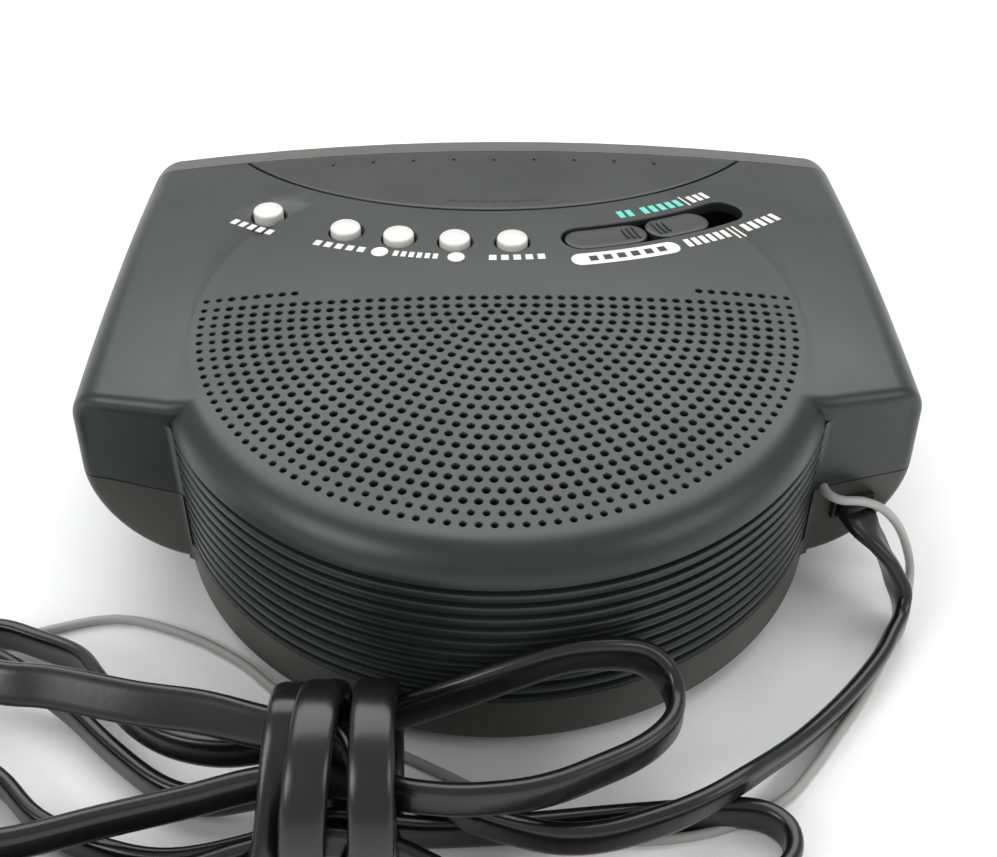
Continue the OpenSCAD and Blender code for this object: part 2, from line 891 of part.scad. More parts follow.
// ---------------------------------------------------------------- main board

module main_board() {
    color([0.5, 0.38, 0.18]) difference() {
        translate([-main_board_x, main_board_y0, main_board_z])
            cube([2 * main_board_x, main_board_y1 - main_board_y0, board_t]);
        for (p = BOARD_SCREWS) post(p[0], p[1], 0, far, 1.3);
        for (s = [-1, 1]) post(s * 66, -52, 0, far, 4.8);
    }
    color([0.5, 0.38, 0.18]) translate([main_board_x - 18, main_board_y1 - 0.5, main_board_z])
        cube([18, 19, board_t]);
}

module board_screws() {
    color([0.62, 0.62, 0.64]) for (p = BOARD_SCREWS) {
        post(p[0], p[1], main_board_top, main_board_top + 1.8, 2.6);
        post(p[0], p[1], main_board_z - 6.5, main_board_top + 0.5, 1);
    }
}

module board_components() {
    color([0.1, 0.1, 0.11]) {
        box([26, 9, 3.5], [-6, -36, main_board_top]);
        box([18, 7, 3], [-30, -22, main_board_top]);
    }
    color([0.72, 0.72, 0.74]) for (x = [12, 24, 36]) box([7, 7, 5.5], [x, -24, main_board_top]);
    color([0.12, 0.16, 0.3]) for (p = [[-50, -40], [-38, -34], [20, -44], [30, -40]])
        post(p[0], p[1], main_board_top, main_board_top + 6, 3.2);
}

rod_x0 = -24;
rod_x1 = 34;
rod_y = -6;
rod_z = main_board_top + 11;

module rod_x(r, x0, x1) {
    translate([x0, rod_y, rod_z]) rotate([0, 90, 0]) cylinder(r = r, h = x1 - x0);
}

module ferrite_rod() {
    color([0.2, 0.19, 0.19]) rod_x(rod_d / 2, rod_x0, rod_x1);
}

module ferrite_coil() {
    color([0.72, 0.4, 0.18]) difference() {
        rod_x(rod_d / 2 + 1.2, -8, 14);
        rod_x(rod_d / 2, -9, 15);
    }
}

module ferrite_holders() {
    color([0.85, 0.85, 0.82]) difference() {
        for (x = [rod_x0 + 4, rod_x1 - 8]) translate([x, rod_y - rod_d / 2 - 1.5, main_board_top])
            cube([3, rod_d + 3, 12]);
        rod_x(rod_d / 2, rod_x0 - 1, rod_x1 + 1);
    }
}

// ---------------------------------------------------------------- speaker

module speaker_at() {
    translate([0, speaker_y, speaker_z]) children();
}

module speaker_frame() {
    neck_r = 17;
    flange_t = 1;
    color([0.5, 0.5, 0.52]) speaker_at() difference() {
        rotate_extrude() {
            translate([speaker_r - 5, -flange_t]) square([5, flange_t]);
            polygon([
                [speaker_r - 5, 0], [speaker_r - 4, -1], [neck_r + 1, 6 - speaker_depth],
                [neck_r + 1, 5 - speaker_depth], [8, 5 - speaker_depth], [8, 6 - speaker_depth],
                [neck_r, 6 - speaker_depth]
            ]);
        }
        for (a = [0:60:300]) rotate([0, 0, a])
            translate([(speaker_r + neck_r - 4) / 2, 0, (5 - speaker_depth) / 2])
                rotate([0, 35, 0]) cube([5, 12, 14], center = true);
    }
}

module speaker_cone() {
    color([0.1, 0.1, 0.1]) speaker_at() {
        rotate_extrude() polygon([
            [speaker_r - 5.6, -0.3], [speaker_r - 5.6, -0.8], [speaker_r - 8.5, -1.6], [8.5, -10.2],
            [8.5, -13.5], [7.9, -13.5], [7.9, -9.4], [speaker_r - 8.5, -0.9]
        ]);
        intersection() {
            translate([0, 0, -18]) difference() {
                sphere(r = 11.6);
                sphere(r = 11);
            }
            translate([0, 0, -9.6]) cylinder(r = 7.9, h = 20);
        }
    }
}

module speaker_magnet() {
    color([0.32, 0.32, 0.34]) speaker_at() translate([0, 0, -speaker_depth]) {
        difference() {
            cylinder(r = 16, h = 5);
            translate([0, 0, 1]) cylinder(r = 8.8, h = 5);
        }
        cylinder(r = 7, h = 9);
    }
}

module speaker_gasket() {
    color([0.1, 0.1, 0.1]) speaker_at() difference() {
        cylinder(r = speaker_r, h = 0.8);
        translate([0, 0, -1]) cylinder(r = speaker_r - 4, h = 3);
    }
}

module speaker_screws() {
    color([0.62, 0.62, 0.64]) for (p = SPEAKER_SCREWS) {
        post(p[0], p[1], speaker_z - 2.6, speaker_z - 1.05, 3.6);
        post(p[0], p[1], speaker_z - 2, speaker_z + 2.4, 1);
    }
}

// ---------------------------------------------------------------- power

module transformer_core() {
    color([0.45, 0.45, 0.47]) difference() {
        box([trafo_w, 11, trafo_h], [trafo_x, trafo_y, trafo_z]);
        for (s = [-1, 1]) box([5.4, 12, trafo_h - 10], [trafo_x + s * 7.5, trafo_y, trafo_z + 5]);
    }
}

module transformer_coil() {
    color([0.78, 0.66, 0.3]) difference() {
        box([20, trafo_l, trafo_h - 10.4], [trafo_x, trafo_y, trafo_z + 5.2]);
        box([9.8, 11.2, trafo_h], [trafo_x, trafo_y, trafo_z]);
    }
}

module backup_battery() {
    color([0.15, 0.2, 0.3]) box([battery_l, battery_w, battery_h], [0, battery_y, battery_z]);
}

module battery_snap() {
    snap_t = 2;
    color([0.1, 0.1, 0.1])
        box([snap_t, battery_w - 2, 12], [(battery_l + snap_t) / 2 + 0.1, battery_y, battery_z + 2]);
}

// The pins that the battery door turns on, grown by g and standing out by out
module door_pins(g, out) {
    translate([-door_w / 2 - out, battery_y - door_l / 2 + door_t / 2, base_z + door_t / 2])
        rotate([0, 90, 0]) cylinder(r = 0.7 + g, h = door_w + 2 * out);
}

module battery_door() {
    y0 = battery_y - door_l / 2;
    color([0.34, 0.34, 0.33]) {
        door_pins(0, 1.1);
        translate([-door_w / 2, y0 + door_t / 2, base_z]) cube([door_w, door_l - door_t / 2, door_t]);
        translate([-door_w / 2, y0 + door_t / 2, base_z + door_t / 2]) rotate([0, 90, 0])
            cylinder(r = door_t / 2, h = door_w);
    }
}

module strain_relief() {
    color([0.05, 0.05, 0.05]) at_cord_exit() difference() {
        union() {
            translate([-cord_w / 2 - 0.6, -wall - 0.8, -cord_t / 2 - 0.6])
                cube([cord_w + 1.2, wall + 2, cord_t + 1.2]);
            translate([-cord_w / 2 - 1.6, -wall - 2.4, -cord_t / 2 - 1.6])
                cube([cord_w + 3.2, 1.6, cord_t + 3.2]);
            translate([0, -wall - 2.3, 0]) rotate([90, 0, 0])
                cylinder(r1 = cord_w / 2 + 1.4, r2 = cord_w / 2 + 0.7, h = relief_l - wall);
        }
        translate([-cord_w / 2, -far / 2, -cord_t / 2]) cube([cord_w, far, cord_t]);
    }
}

// ---------------------------------------------------------------- cords

// A point on the smooth curve through the route, between its points i and i + 1
function bend(p, i, t) =
    let (a = p[max(i - 1, 0)], b = p[i], c = p[i + 1], d = p[min(i + 2, len(p) - 1)])
    (2 * b + (c - a) * t + (2 * a - 5 * b + 4 * c - d) * t * t + (3 * (b - c) + d - a) * t * t * t) / 2;

function smooth(p, steps) =
    [for (i = [0:len(p) - 2], k = [0:steps - 1]) bend(p, i, k / steps), p[len(p) - 1]];

// The eight or more points of one ring of a cord of width w and thickness t
function cord_ring(line, i, w, t, sides) =
    let (
        run = line[min(i + 1, len(line) - 1)] - line[max(i - 1, 0)],
        side = cross(run, [0, 0, 1]) / norm(cross(run, [0, 0, 1])),
        up = cross(side, run) / norm(run)
    )
    [for (k = [0:sides - 1])
        line[i] + side * cos(k * 360 / sides) * w / 2 + up * sin(k * 360 / sides) * t / 2];

module cord_tube(line, w, t, sides) {
    last = (len(line) - 1) * sides;
    polyhedron(
        points = [for (i = [0:len(line) - 1]) each cord_ring(line, i, w, t, sides)],
        faces = [
            [for (k = [0:sides - 1]) k],
            [for (k = [0:sides - 1]) last + sides - 1 - k],
            for (i = [0:len(line) - 2], k = [0:sides - 1])
                let (a = i * sides, b = a + sides, n = (k + 1) % sides) [a + k, b + k, b + n, a + n]
        ]
    );
}

module mains_cord() {
    color([0.04, 0.04, 0.04]) cord_tube(smooth(MAINS_ROUTE, 2), cord_w, cord_t, 12);
}

// The folded length of mains cord: two lobes and the turns that tie them
module cord_bundle() {
    color([0.04, 0.04, 0.04]) {
        linear_extrude(bundle_h) difference() {
            union() {
                translate([bundle_x0, bundle_y]) circle(r = bundle_r);
                translate([bundle_x0, bundle_y - bundle_r + 0.5])
                    square([tie_x0 - bundle_x0 + 1, 2 * bundle_r - 1]);
            }
            translate([0, drum_y]) circle(r = drum_r + 0.7);
        }
        linear_extrude(bundle_h1) {
            translate([bundle_x1, bundle_y1]) circle(r = bundle_r1);
            polygon([
                [tie_x1 - 1, tie_y0 + 1], [bundle_x1, bundle_y1 - bundle_r1 + 0.5],
                [bundle_x1, bundle_y1 + bundle_r1 - 0.5], [tie_x1 - 1, tie_y1 - 1]
            ]);
        }
        translate([tie_x0, tie_y0, 0]) cube([tie_x1 - tie_x0, tie_y1 - tie_y0, tie_h]);
    }
}

module plug_body() {
    color([0.04, 0.04, 0.04]) translate([plug_x, plug_y, plug_h / 2]) rotate([0, 90, 0])
        linear_extrude(plug_l) {
            square([plug_h, plug_w - plug_h], center = true);
            for (s = [-1, 1]) translate([0, s * (plug_w - plug_h) / 2]) circle(d = plug_h);
        }
}

module plug_blades() {
    color([0.78, 0.72, 0.5]) for (s = [-1, 1])
        translate([plug_x + plug_l, plug_y + s * blade_pitch / 2 - blade_t / 2, plug_h / 2 - blade_w / 2])
            cube([blade_l, blade_t, blade_w]);
}

module antenna_wire() {
    color([0.7, 0.7, 0.68]) cord_tube(smooth(ANTENNA_ROUTE, 2), antenna_d, antenna_d, 8);
}

module antenna_coil() {
    color([0.7, 0.7, 0.68]) translate([antenna_coil_x, antenna_coil_y, 0]) rotate_extrude()
        translate([antenna_coil_r - antenna_d, 0]) square([2 * antenna_d, 2 * antenna_d]);
}

top_cover();
bottom_cover();
front_cabinet();
snooze_bar();
sleep_button();
alarm_button();
minute_button();
hour_button();
clock_button();
radio_switch_knob();
alarm_mode_knob();
slide_switches();
tact_switches();
key_board();
key_board_screws();
display_window();
dial_chassis();
dial_scale();
led_display();
dial_pointer();
dial_cord();
cord_guides();
tuning_wheel();
tuning_shaft();
tuning_wheel_screw();
tuning_capacitor();
volume_wheel();
volume_shaft();
volume_wheel_screw();
volume_pot();
band_switch();
band_switch_knob();
main_board();
board_components();
board_screws();
ferrite_rod();
ferrite_coil();
ferrite_holders();
speaker_frame();
speaker_cone();
speaker_magnet();
speaker_gasket();
speaker_screws();
transformer_core();
transformer_coil();
backup_battery();
battery_snap();
battery_door();
case_screws();
rubber_feet();
strain_relief();
mains_cord();
cord_bundle();
plug_body();
plug_blades();
antenna_wire();
antenna_coil();
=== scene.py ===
"""Clock radio seen from behind: camera, cords, case, controls, printed marks, materials and light."""
import math
import bmesh
import bpy
from mathutils import Matrix, Vector


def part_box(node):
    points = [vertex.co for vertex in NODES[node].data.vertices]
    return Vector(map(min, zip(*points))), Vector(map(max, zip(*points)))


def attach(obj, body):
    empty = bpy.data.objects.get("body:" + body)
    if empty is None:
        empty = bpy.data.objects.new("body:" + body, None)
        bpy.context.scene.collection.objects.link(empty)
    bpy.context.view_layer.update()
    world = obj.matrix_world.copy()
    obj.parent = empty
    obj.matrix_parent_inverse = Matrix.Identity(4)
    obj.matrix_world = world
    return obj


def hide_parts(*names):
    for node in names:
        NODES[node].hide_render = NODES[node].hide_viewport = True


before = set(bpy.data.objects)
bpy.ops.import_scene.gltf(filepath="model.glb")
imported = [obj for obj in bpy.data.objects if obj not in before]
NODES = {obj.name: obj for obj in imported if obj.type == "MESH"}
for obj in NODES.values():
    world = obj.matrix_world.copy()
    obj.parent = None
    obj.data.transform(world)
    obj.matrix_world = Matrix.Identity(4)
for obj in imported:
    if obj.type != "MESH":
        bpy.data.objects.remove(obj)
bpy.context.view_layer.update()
MM = 0.001

# ------------------------------------------------------------------ sizes, in millimetres

HALF_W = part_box("bottom_cover")[1].x / MM
BACK_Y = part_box("top_cover")[1].y / MM
FRONT_Y, SEAM_Y = (corner.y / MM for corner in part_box("front_cabinet"))
BODY_H = 53.0
SEAM_Z = 27.5
SEAM_GAP = 0.3

DRUM_R = 65.5
DRUM_Y = BACK_Y - DRUM_R
CROWN_R = 580.0
BALL_Z = BODY_H - CROWN_R
RIM_R = 7.0
WALL = 2.4

BELLY_R = 19.0
BELLY_X = HALF_W - BELLY_R
BELLY_Z = 28.0
CORNER_R = 7.5
CORNER_X = 73.0
SIDE_ANGLE = math.radians(85.5)
WING_BACK = 25.5
WING_SLOPE = 0.28
WING_X = math.sqrt(DRUM_R ** 2 - WING_BACK ** 2)
WING_FILLET = 2.4
FRONT_FILLET = 3.4
SIDE_FILLET = 6.5
COVE_R = 3.0
COVE_Z = (9.5, 44.5)

GROOVES = 10
GROOVE_TOP_Z = 42.24
GROOVE_PITCH = 2.95
GROOVE_H = 1.2
GROOVE_DEPTH = 1.15
BAND_TOP = 14.2
FOOT_H = 4.0
BASE_Z = 1.5

KEY_ARC_Y = -101.25
KEY_ARC_R = 83.0
KEY_R = 3.2
KEYS = {
    "sleep_button": -36.1, "alarm_button": -22.3, "minute_button": -14.1,
    "hour_button": -5.9, "clock_button": 2.3,
}
# How far the dish about the sleep button lowers it, and the gap between a button and its well
DISH_DROP = 0.7
WELL_GAP = 0.42
SNOOZE_R = 69.2
# Inner and outer radius and the two angles of the switch slot
SLOT = (78.75, 87.2, 9.5, 39.5)
KNOB_GAP = 0.45

HOLE_PITCH = 2.5
HOLE_R = 0.68
RINGS = 23

CORD_W = 7.4
CORD_T = 3.2
# The groove between the cord's cores, and how square its section is each way
GROOVE_DIP = 0.10
GROOVE_SPREAD = 0.22
WIDE_POWER = 0.72
THICK_POWER = 0.62
CORD_SIDES = 20
WIRE_D = 1.8
WIRE_SIDES = 12


def crown_z(x, y, sink=0.0):
    """Height of the domed top at a place, on a dome sunk by some amount."""
    return BALL_Z + math.sqrt((CROWN_R - sink) ** 2 - x * x - (y - DRUM_Y) ** 2)


def key_point(angle, radius=KEY_ARC_R):
    """Place on the arc of the keys; the angle grows towards -X."""
    a = math.radians(angle)
    return -radius * math.sin(a), KEY_ARC_Y + radius * math.cos(a)


# ------------------------------------------------------------------ mesh helpers

def mesh_object(name, verts, faces, smooth=35.0):
    """An object from points in millimetres, with its edges split where they are sharp."""
    mesh = bpy.data.meshes.new(name)
    mesh.from_pydata([(x * MM, y * MM, z * MM) for x, y, z in verts], [], faces)
    bm = bmesh.new()
    bm.from_mesh(mesh)
    bmesh.ops.recalc_face_normals(bm, faces=bm.faces)
    bm.to_mesh(mesh)
    bm.free()
    obj = bpy.data.objects.new(name, mesh)
    bpy.context.scene.collection.objects.link(obj)
    soften(obj, smooth)
    return obj


def soften(obj, angle):
    """Smooth shading, except over edges sharper than the angle in degrees."""
    mesh = obj.data
    mesh.shade_smooth()
    mesh.set_sharp_from_angle(angle=math.radians(angle))


def boolean(obj, other, operation, keep=False):
    """Joins, cuts or intersects obj with other, and removes other unless it is kept."""
    tool = obj.modifiers.new("cut", "BOOLEAN")
    tool.operation = operation
    tool.solver = "MANIFOLD"
    tool.object = other
    graph = bpy.context.evaluated_depsgraph_get()
    mesh = bpy.data.meshes.new_from_object(obj.evaluated_get(graph))
    obj.modifiers.clear()
    obj.data = mesh
    if not keep:
        bpy.data.objects.remove(other)
    return obj


def copy_of(obj, name):
    twin = obj.copy()
    twin.data = obj.data.copy()
    twin.name = name
    bpy.context.scene.collection.objects.link(twin)
    return twin


def finish_piece(obj, body, slot, *nodes, smooth=35.0):
    """Sets a piece's shading and the body it rides on, and hides the nodes it stands for; the slot
    argument, naming its finish, is not used.
    """
    soften(obj, smooth)
    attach(obj, body)
    if nodes:
        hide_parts(*nodes)
    return obj


def lathe(name, profile, centre=(0, 0), steps=288):
    """A closed solid turned about a vertical axis; the profile runs from axis to axis."""
    verts = []
    rings = []
    for r, z in profile:
        if r < 1e-6:
            rings.append([len(verts)])
            verts.append((centre[0], centre[1], z))
            continue
        rings.append(list(range(len(verts), len(verts) + steps)))
        for i in range(steps):
            a = 2 * math.pi * i / steps
            verts.append((centre[0] + r * math.cos(a), centre[1] + r * math.sin(a), z))
    faces = []
    for low, high in zip(rings, rings[1:]):
        for i in range(steps):
            j = (i + 1) % steps
            if len(low) == 1:
                faces.append((low[0], high[i], high[j]))
            elif len(high) == 1:
                faces.append((low[i], high[0], low[j]))
            else:
                faces.append((low[i], high[i], high[j], low[j]))
    return mesh_object(name, verts, faces)


def prism(name, outline, z0, z1):
    """A closed solid between two heights; a height may be a number or a function of x and y."""
    n = len(outline)
    low = z0 if callable(z0) else lambda x, y: z0
    high = z1 if callable(z1) else lambda x, y: z1
    verts = [(x, y, low(x, y)) for x, y in outline] + [(x, y, high(x, y)) for x, y in outline]
    faces = [tuple(range(n)), tuple(range(n, 2 * n))]
    faces += [(i, (i + 1) % n, n + (i + 1) % n, n + i) for i in range(n)]
    return mesh_object(name, verts, faces)


def block(name, lo, hi):
    return prism(name, [(lo[0], lo[1]), (hi[0], lo[1]), (hi[0], hi[1]), (lo[0], hi[1])], lo[2], hi[2])


def rounded_layers(name, outline_at, layers):
    """A solid of stacked outlines: each layer is (inset, function of x and y giving its height)."""
    rings = []
    verts = []
    for inset, height in layers:
        ring = outline_at(inset)
        rings.append(range(len(verts), len(verts) + len(ring)))
        verts += [(x, y, height(x, y)) for x, y in ring]
    faces = [tuple(rings[0]), tuple(rings[-1])]
    for a, b in zip(rings, rings[1:]):
        n = len(a)
        faces += [(a[i], a[(i + 1) % n], b[(i + 1) % n], b[i]) for i in range(n)]
    return mesh_object(name, verts, faces)


def joined(name, parts):
    """One object of several closed solids."""
    bm = bmesh.new()
    for part in parts:
        bm.from_mesh(part.data)
        bpy.data.objects.remove(part)
    mesh = bpy.data.meshes.new(name)
    bm.to_mesh(mesh)
    bm.free()
    obj = bpy.data.objects.new(name, mesh)
    bpy.context.scene.collection.objects.link(obj)
    return obj


# ------------------------------------------------------------------ camera

CAMERA_AT = Vector((3.57, 222.6, 209.7)) * MM
CAMERA_ELEVATION = 0.71207
CAMERA_YAW = -0.0175
CAMERA_ROLL = -0.00412
LENS = 49.88


def make_camera():
    """The view from behind, looking down at the back and top of the case."""
    e = CAMERA_ELEVATION
    tilt = Matrix(((1, 0, 0), (0, -math.sin(e), math.cos(e)), (0, math.cos(e), math.sin(e))))
    yaw = Matrix.Rotation(CAMERA_YAW, 3, "Z")
    roll = Matrix.Rotation(CAMERA_ROLL, 3, "Z")
    rows = roll @ tilt @ yaw
    axes = Matrix([(-row[0], row[1], row[2]) for row in rows]).transposed()
    camera = bpy.data.objects.new("camera", bpy.data.cameras.new("camera"))
    camera.data.lens = LENS
    camera.data.sensor_width = 36
    camera.data.clip_start = 0.01
    camera.data.clip_end = 10
    camera.matrix_world = Matrix.Translation(CAMERA_AT) @ axes.to_4x4()
    bpy.context.scene.collection.objects.link(camera)
    bpy.context.scene.camera = camera


# ------------------------------------------------------------------ cords

# Mains cord, millimetres: outside the strain relief, down the wing and over to the folded bundle.
# A fourth number, where there is one, turns the cord: 0 lies flat, 1 stands on edge.
CORD_OUT = [
    (-63, 6, 21.5, 0), (-66, 17, 21.5, 0), (-69, 27.5, 21.5, 0), (-71, 32.5, 20, 0.1),
    (-74, 35, 17, 0.3), (-77, 37, 12, 0.6), (-79, 39.5, 7, 0.9), (-78.5, 43, 4.4, 1),
    (-75.5, 47.5, 3.9, 1.08), (-71.5, 53.5, 3.9, 1.12), (-63.5, 62.5, 4, 1.15),
    (-54, 72, 5.5, 1.15), (-46, 79.5, 8.5, 1.15), (-40, 85, 11.2, 1.1), (-33, 89.4, 11.4, 1.05),
    (-25.5, 92.2, 10.6, 1), (-16, 94.2, 9.6, 1), (-7, 93.8, 9, 1),
    (4.5, 90, 8.6, 1), (12, 87, 8.6, 1),
]
CORD_FOLDS = [
    (20, 84, 9, 1), (31, 82, 8.5, 1), (42, 82.5, 6, 1), (52, 83, 4.5, 1), (60, 80, 4, 1),
    (70, 72, 4, 1), (80, 63, 5, 1), (91, 57, 9, 1), (103, 54, 12, 1), (115, 57, 12, 1),
    (122, 67, 12, 1), (122, 80, 12, 1), (115, 91, 11, 1), (103, 97, 9, 1), (88, 99, 7, 1),
    (70, 99.5, 6, 1), (54, 99, 7, 1), (42, 96.5, 9, 1), (31, 95, 10.5, 1), (19, 96, 9, 1),
    (6, 100, 5, 1), (-12, 103, 4, 1), (-32, 103, 4, 1), (-43, 100, 4, 1), (-48, 95.5, 4, 1),
    (-48.5, 90.5, 3.9, 1), (-45, 87, 3.8, 1), (-39, 86, 3.8, 1), (-30, 86.5, 3.8, 1),
    (-17, 87.5, 3.8, 1), (-6, 88.5, 3.8, 1), (4, 89, 3.8, 1), (14, 89.5, 4.2, 1),
    (22, 90, 6.4, 1), (31, 90, 7.5, 1), (42, 93.5, 6, 1), (55, 95, 4.2, 1), (66, 93, 4, 1),
    (79, 87, 4, 1), (88, 78.5, 4, 1), (99, 72, 4, 1), (110, 68, 4, 1), (117, 61, 4, 1),
    (116, 52, 4, 1), (108, 46, 4.5, 1), (97, 45, 5, 1), (88, 48, 5, 1), (79, 53, 6, 1),
    (73, 61, 8.5, 1), (66, 70, 10.5, 1), (58, 76, 12, 1), (49, 78.5, 12.5, 1), (40, 78, 13, 1),
    (30, 76.8, 13.5, 1), (21, 74.4, 15.5, 1), (13, 73.4, 18.5, 1), (5, 73.2, 22.5, 1),
    (-3, 72.6, 26, 1), (-10.5, 71.4, 28, 1), (-17.5, 70.2, 27.5, 1), (-23.6, 69.4, 25.5, 1),
    (-27.6, 70.8, 22.6, 1), (-29.4, 74, 20.6, 1), (-28.8, 78.2, 19.8, 1), (-26, 82, 19.6, 1),
    (-21.5, 85.4, 19.6, 1), (-15, 88.6, 19.6, 1), (-8.5, 91.4, 19.6, 1), (-1.8, 93, 19.6, 1),
    (7, 93.6, 19.6, 1), (15, 92.6, 19.4, 1), (22, 90.5, 19, 1), (30, 89, 18.6, 1),
    (40, 89, 18, 1), (52, 91, 16, 1), (65, 93, 14, 1), (82, 96.5, 12.5, 1),
    (96, 97.5, 13.5, 1), (110, 95, 16, 1), (120, 88, 19, 1), (123.5, 79, 22, 1),
    (118, 71.5, 24.5, 1.05), (108, 69, 26, 1.2), (97, 70.5, 27, 1.35), (84, 75, 27.4, 1.45),
    (75, 76, 27.2, 1.5), (61, 79, 26.6, 1.5), (50, 80.5, 26, 1.45), (41, 82.5, 25, 1.35),
    (33, 84, 24, 1.25),
]
# The tie round the folds: centre, radius, the X of each turn, its starting angle, points in a turn
# and number of turns
TIE_Y = 87.0
TIE_Z = 17.0
TIE_R = 14.4
TIE_X = (21.0, 29.4, 35.0)
TIE_START = math.radians(20)
TIE_STEPS = 16
TIE_TURNS = 2.64
# How the cord leads into the tie from the folds, and how it runs on from the tie to the plug
TIE_LEAD = [(27, 86, 23.8), (22.4, 91.5, 22.8)]
CORD_TAIL = [
    (34.6, 81.5, 29), (35.2, 86.8, 27.4), (36, 92.6, 21.6), (37.2, 97.4, 14.5),
    (39.6, 100.6, 8.4), (43.5, 102.6, 5), (49, 103.8, 4),
    (56, 104, 4), (68, 104, 4), (80, 104, 4), (92, 103, 4), (104, 100.8, 4), (114, 96, 4),
    (121, 89, 4), (125, 81, 4.2), (127, 74, 5), (128, 69.6, 6), (129.9, 66, 6.5),
]

# Antenna wire, millimetres, and its small coil
WIRE_OUT = [
    (-62.5, 23, 27.5), (-62.5, 30, 27.5), (-65, 32.5, 27), (-70, 31.5, 25.5), (-75, 29.5, 21.5),
    (-79.5, 28, 15.5), (-83, 27, 8), (-84.5, 28, 2.5), (-83, 33, 1), (-78, 43.5, 1), (-73, 52, 1),
    (-67.5, 60.5, 1), (-62, 67.5, 1), (-56, 75, 1), (-49, 82, 1), (-36, 88, 1), (-20, 89.5, 1),
    (-6, 85.5, 1), (8, 77, 1), (24, 68, 1), (41, 57.5, 1), (50, 49.5, 1), (61.5, 42.5, 1),
    (76.5, 38, 1), (93, 42, 1), (103, 45.5, 1), (114, 46, 1), (125, 42.5, 1), (131.5, 36, 1),
    (132.8, 28, 1),
]
# The coil's middle and radius, the points in one of its turns and in all of it
WIRE_COIL = (122.0, 28.0, 10.8)
TURN_POINTS = 24
COIL_POINTS = 44


def smooth_route(points, steps):
    """Points on a smooth curve through the route's own points, every number blended alike."""
    out = []
    last = len(points) - 1
    for i in range(last):
        a, b, c, d = points[max(i - 1, 0)], points[i], points[i + 1], points[min(i + 2, last)]
        for s in range(steps):
            t = s / steps
            out.append(tuple(
                0.5 * (2 * q + (r - p) * t + (2 * p - 5 * q + 4 * r - u) * t * t
                       + (3 * (q - r) + u - p) * t ** 3)
                for p, q, r, u in zip(a, b, c, d)))
    out.append(tuple(points[-1]))
    return out


def flat_or_edge(path, share):
    """The direction of the cord's width at each point: level at share 0, upright at share 1."""
    up = Vector((0, 0, 1))
    wide = []
    for i, turn in enumerate(share):
        along = (path[min(i + 1, len(path) - 1)] - path[max(i - 1, 0)]).normalized()
        level = along.cross(up)
        level = level.normalized() if level.length > 0.05 else Vector((1, 0, 0))
        upright = level.cross(along).normalized()
        a = turn * math.pi / 2
        wide.append(math.cos(a) * level + math.sin(a) * upright)
    return wide


def swept_tube(name, path, wide, offset, sides):
    """A closed tube along a path; offset gives a point of its section from an angle."""
    verts = []
    n = len(path)
    for i, p in enumerate(path):
        along = (path[min(i + 1, n - 1)] - path[max(i - 1, 0)]).normalized()
        w = (wide[i] - along * wide[i].dot(along)).normalized()
        t = along.cross(w)
        for k in range(sides):
            x, y = offset(2 * math.pi * k / sides)
            verts.append(tuple(p + w * x + t * y))
    faces = [tuple(range(sides)), tuple(range((n - 1) * sides, n * sides))]
    for i in range(n - 1):
        for k in range(sides):
            j = (k + 1) % sides
            faces.append((i * sides + k, i * sides + j, (i + 1) * sides + j, (i + 1) * sides + k))
    return mesh_object(name, verts, faces, smooth=60)


def cord_section(a):
    """A point of the mains cord's section: two cores side by side with a shallow groove between."""
    c, s = math.cos(a), math.sin(a)
    dip = 1 - GROOVE_DIP * math.exp(-(c / GROOVE_SPREAD) ** 2)
    x = math.copysign(abs(c) ** WIDE_POWER, c) * CORD_W / 2
    y = math.copysign(abs(s) ** THICK_POWER, s) * CORD_T / 2 * dip
    return x, y


def wire_section(a):
    return math.cos(a) * WIRE_D / 2, math.sin(a) * WIRE_D / 2


def ease(share):
    """0 before 0, 1 after 1 and a smooth step between."""
    share = min(max(share, 0.0), 1.0)
    return share * share * (3 - 2 * share)


def tie_turns():
    """Points round the folds, from inside the bundle out to the top of the last turn."""
    turns = []
    for i in range(int(TIE_STEPS * TIE_TURNS) + 1):
        turned = i / TIE_STEPS
        a = TIE_START - 2 * math.pi * turned
        grow = min(1.0, 0.70 + 0.30 * i / 4)
        x = TIE_X[0] + (TIE_X[1] - TIE_X[0]) * ease(2 * (turned - 1))
        x += (TIE_X[2] - TIE_X[1]) * ease(turned - 1.55)
        turns.append((x, TIE_Y + grow * TIE_R * math.cos(a), TIE_Z + grow * TIE_R * math.sin(a)))
    return turns


def make_mains_cord():
    """The flat mains cord from the strain relief through its folds and tie to the plug."""
    folds = smooth_route(CORD_OUT + CORD_FOLDS, 5)
    path = [Vector(p[:3]) for p in folds]
    wide = flat_or_edge(path, [p[3] for p in folds])
    steps = 4
    ends = [CORD_FOLDS[-2][:3], CORD_FOLDS[-1][:3]]
    rest = smooth_route(ends + TIE_LEAD + tie_turns() + CORD_TAIL, steps)
    rest = [Vector(p) for p in rest[steps + 1:]]
    tail_start = len(rest) - steps * (len(CORD_TAIL) - 2)
    across = Vector((1, 0, 0))
    for i, p in enumerate(rest):
        a, b = rest[max(i - 1, 0)], rest[min(i + 1, len(rest) - 1)]
        along = (b - a).normalized()
        level = along.cross(Vector((0, 0, 1)))
        level = level.normalized() if level.length > 0.05 else across
        upright = level.cross(along).normalized()
        if i < 3 * steps:
            w = wide[len(folds) - 1].lerp(across, i / (3 * steps))
        elif i < tail_start:
            w = across
        elif i < len(rest) - 3 * steps:
            w = across.lerp(upright, min((i - tail_start) / (4 * steps), 1))
        else:
            w = upright.lerp(level, (i - len(rest) + 3 * steps) / (3 * steps))
        if w.dot(wide[-1]) < 0:
            w = -w
        wide.append(w)
        path.append(p)
    return swept_tube("mains_cord_lead", path, wide, cord_section, CORD_SIDES), path


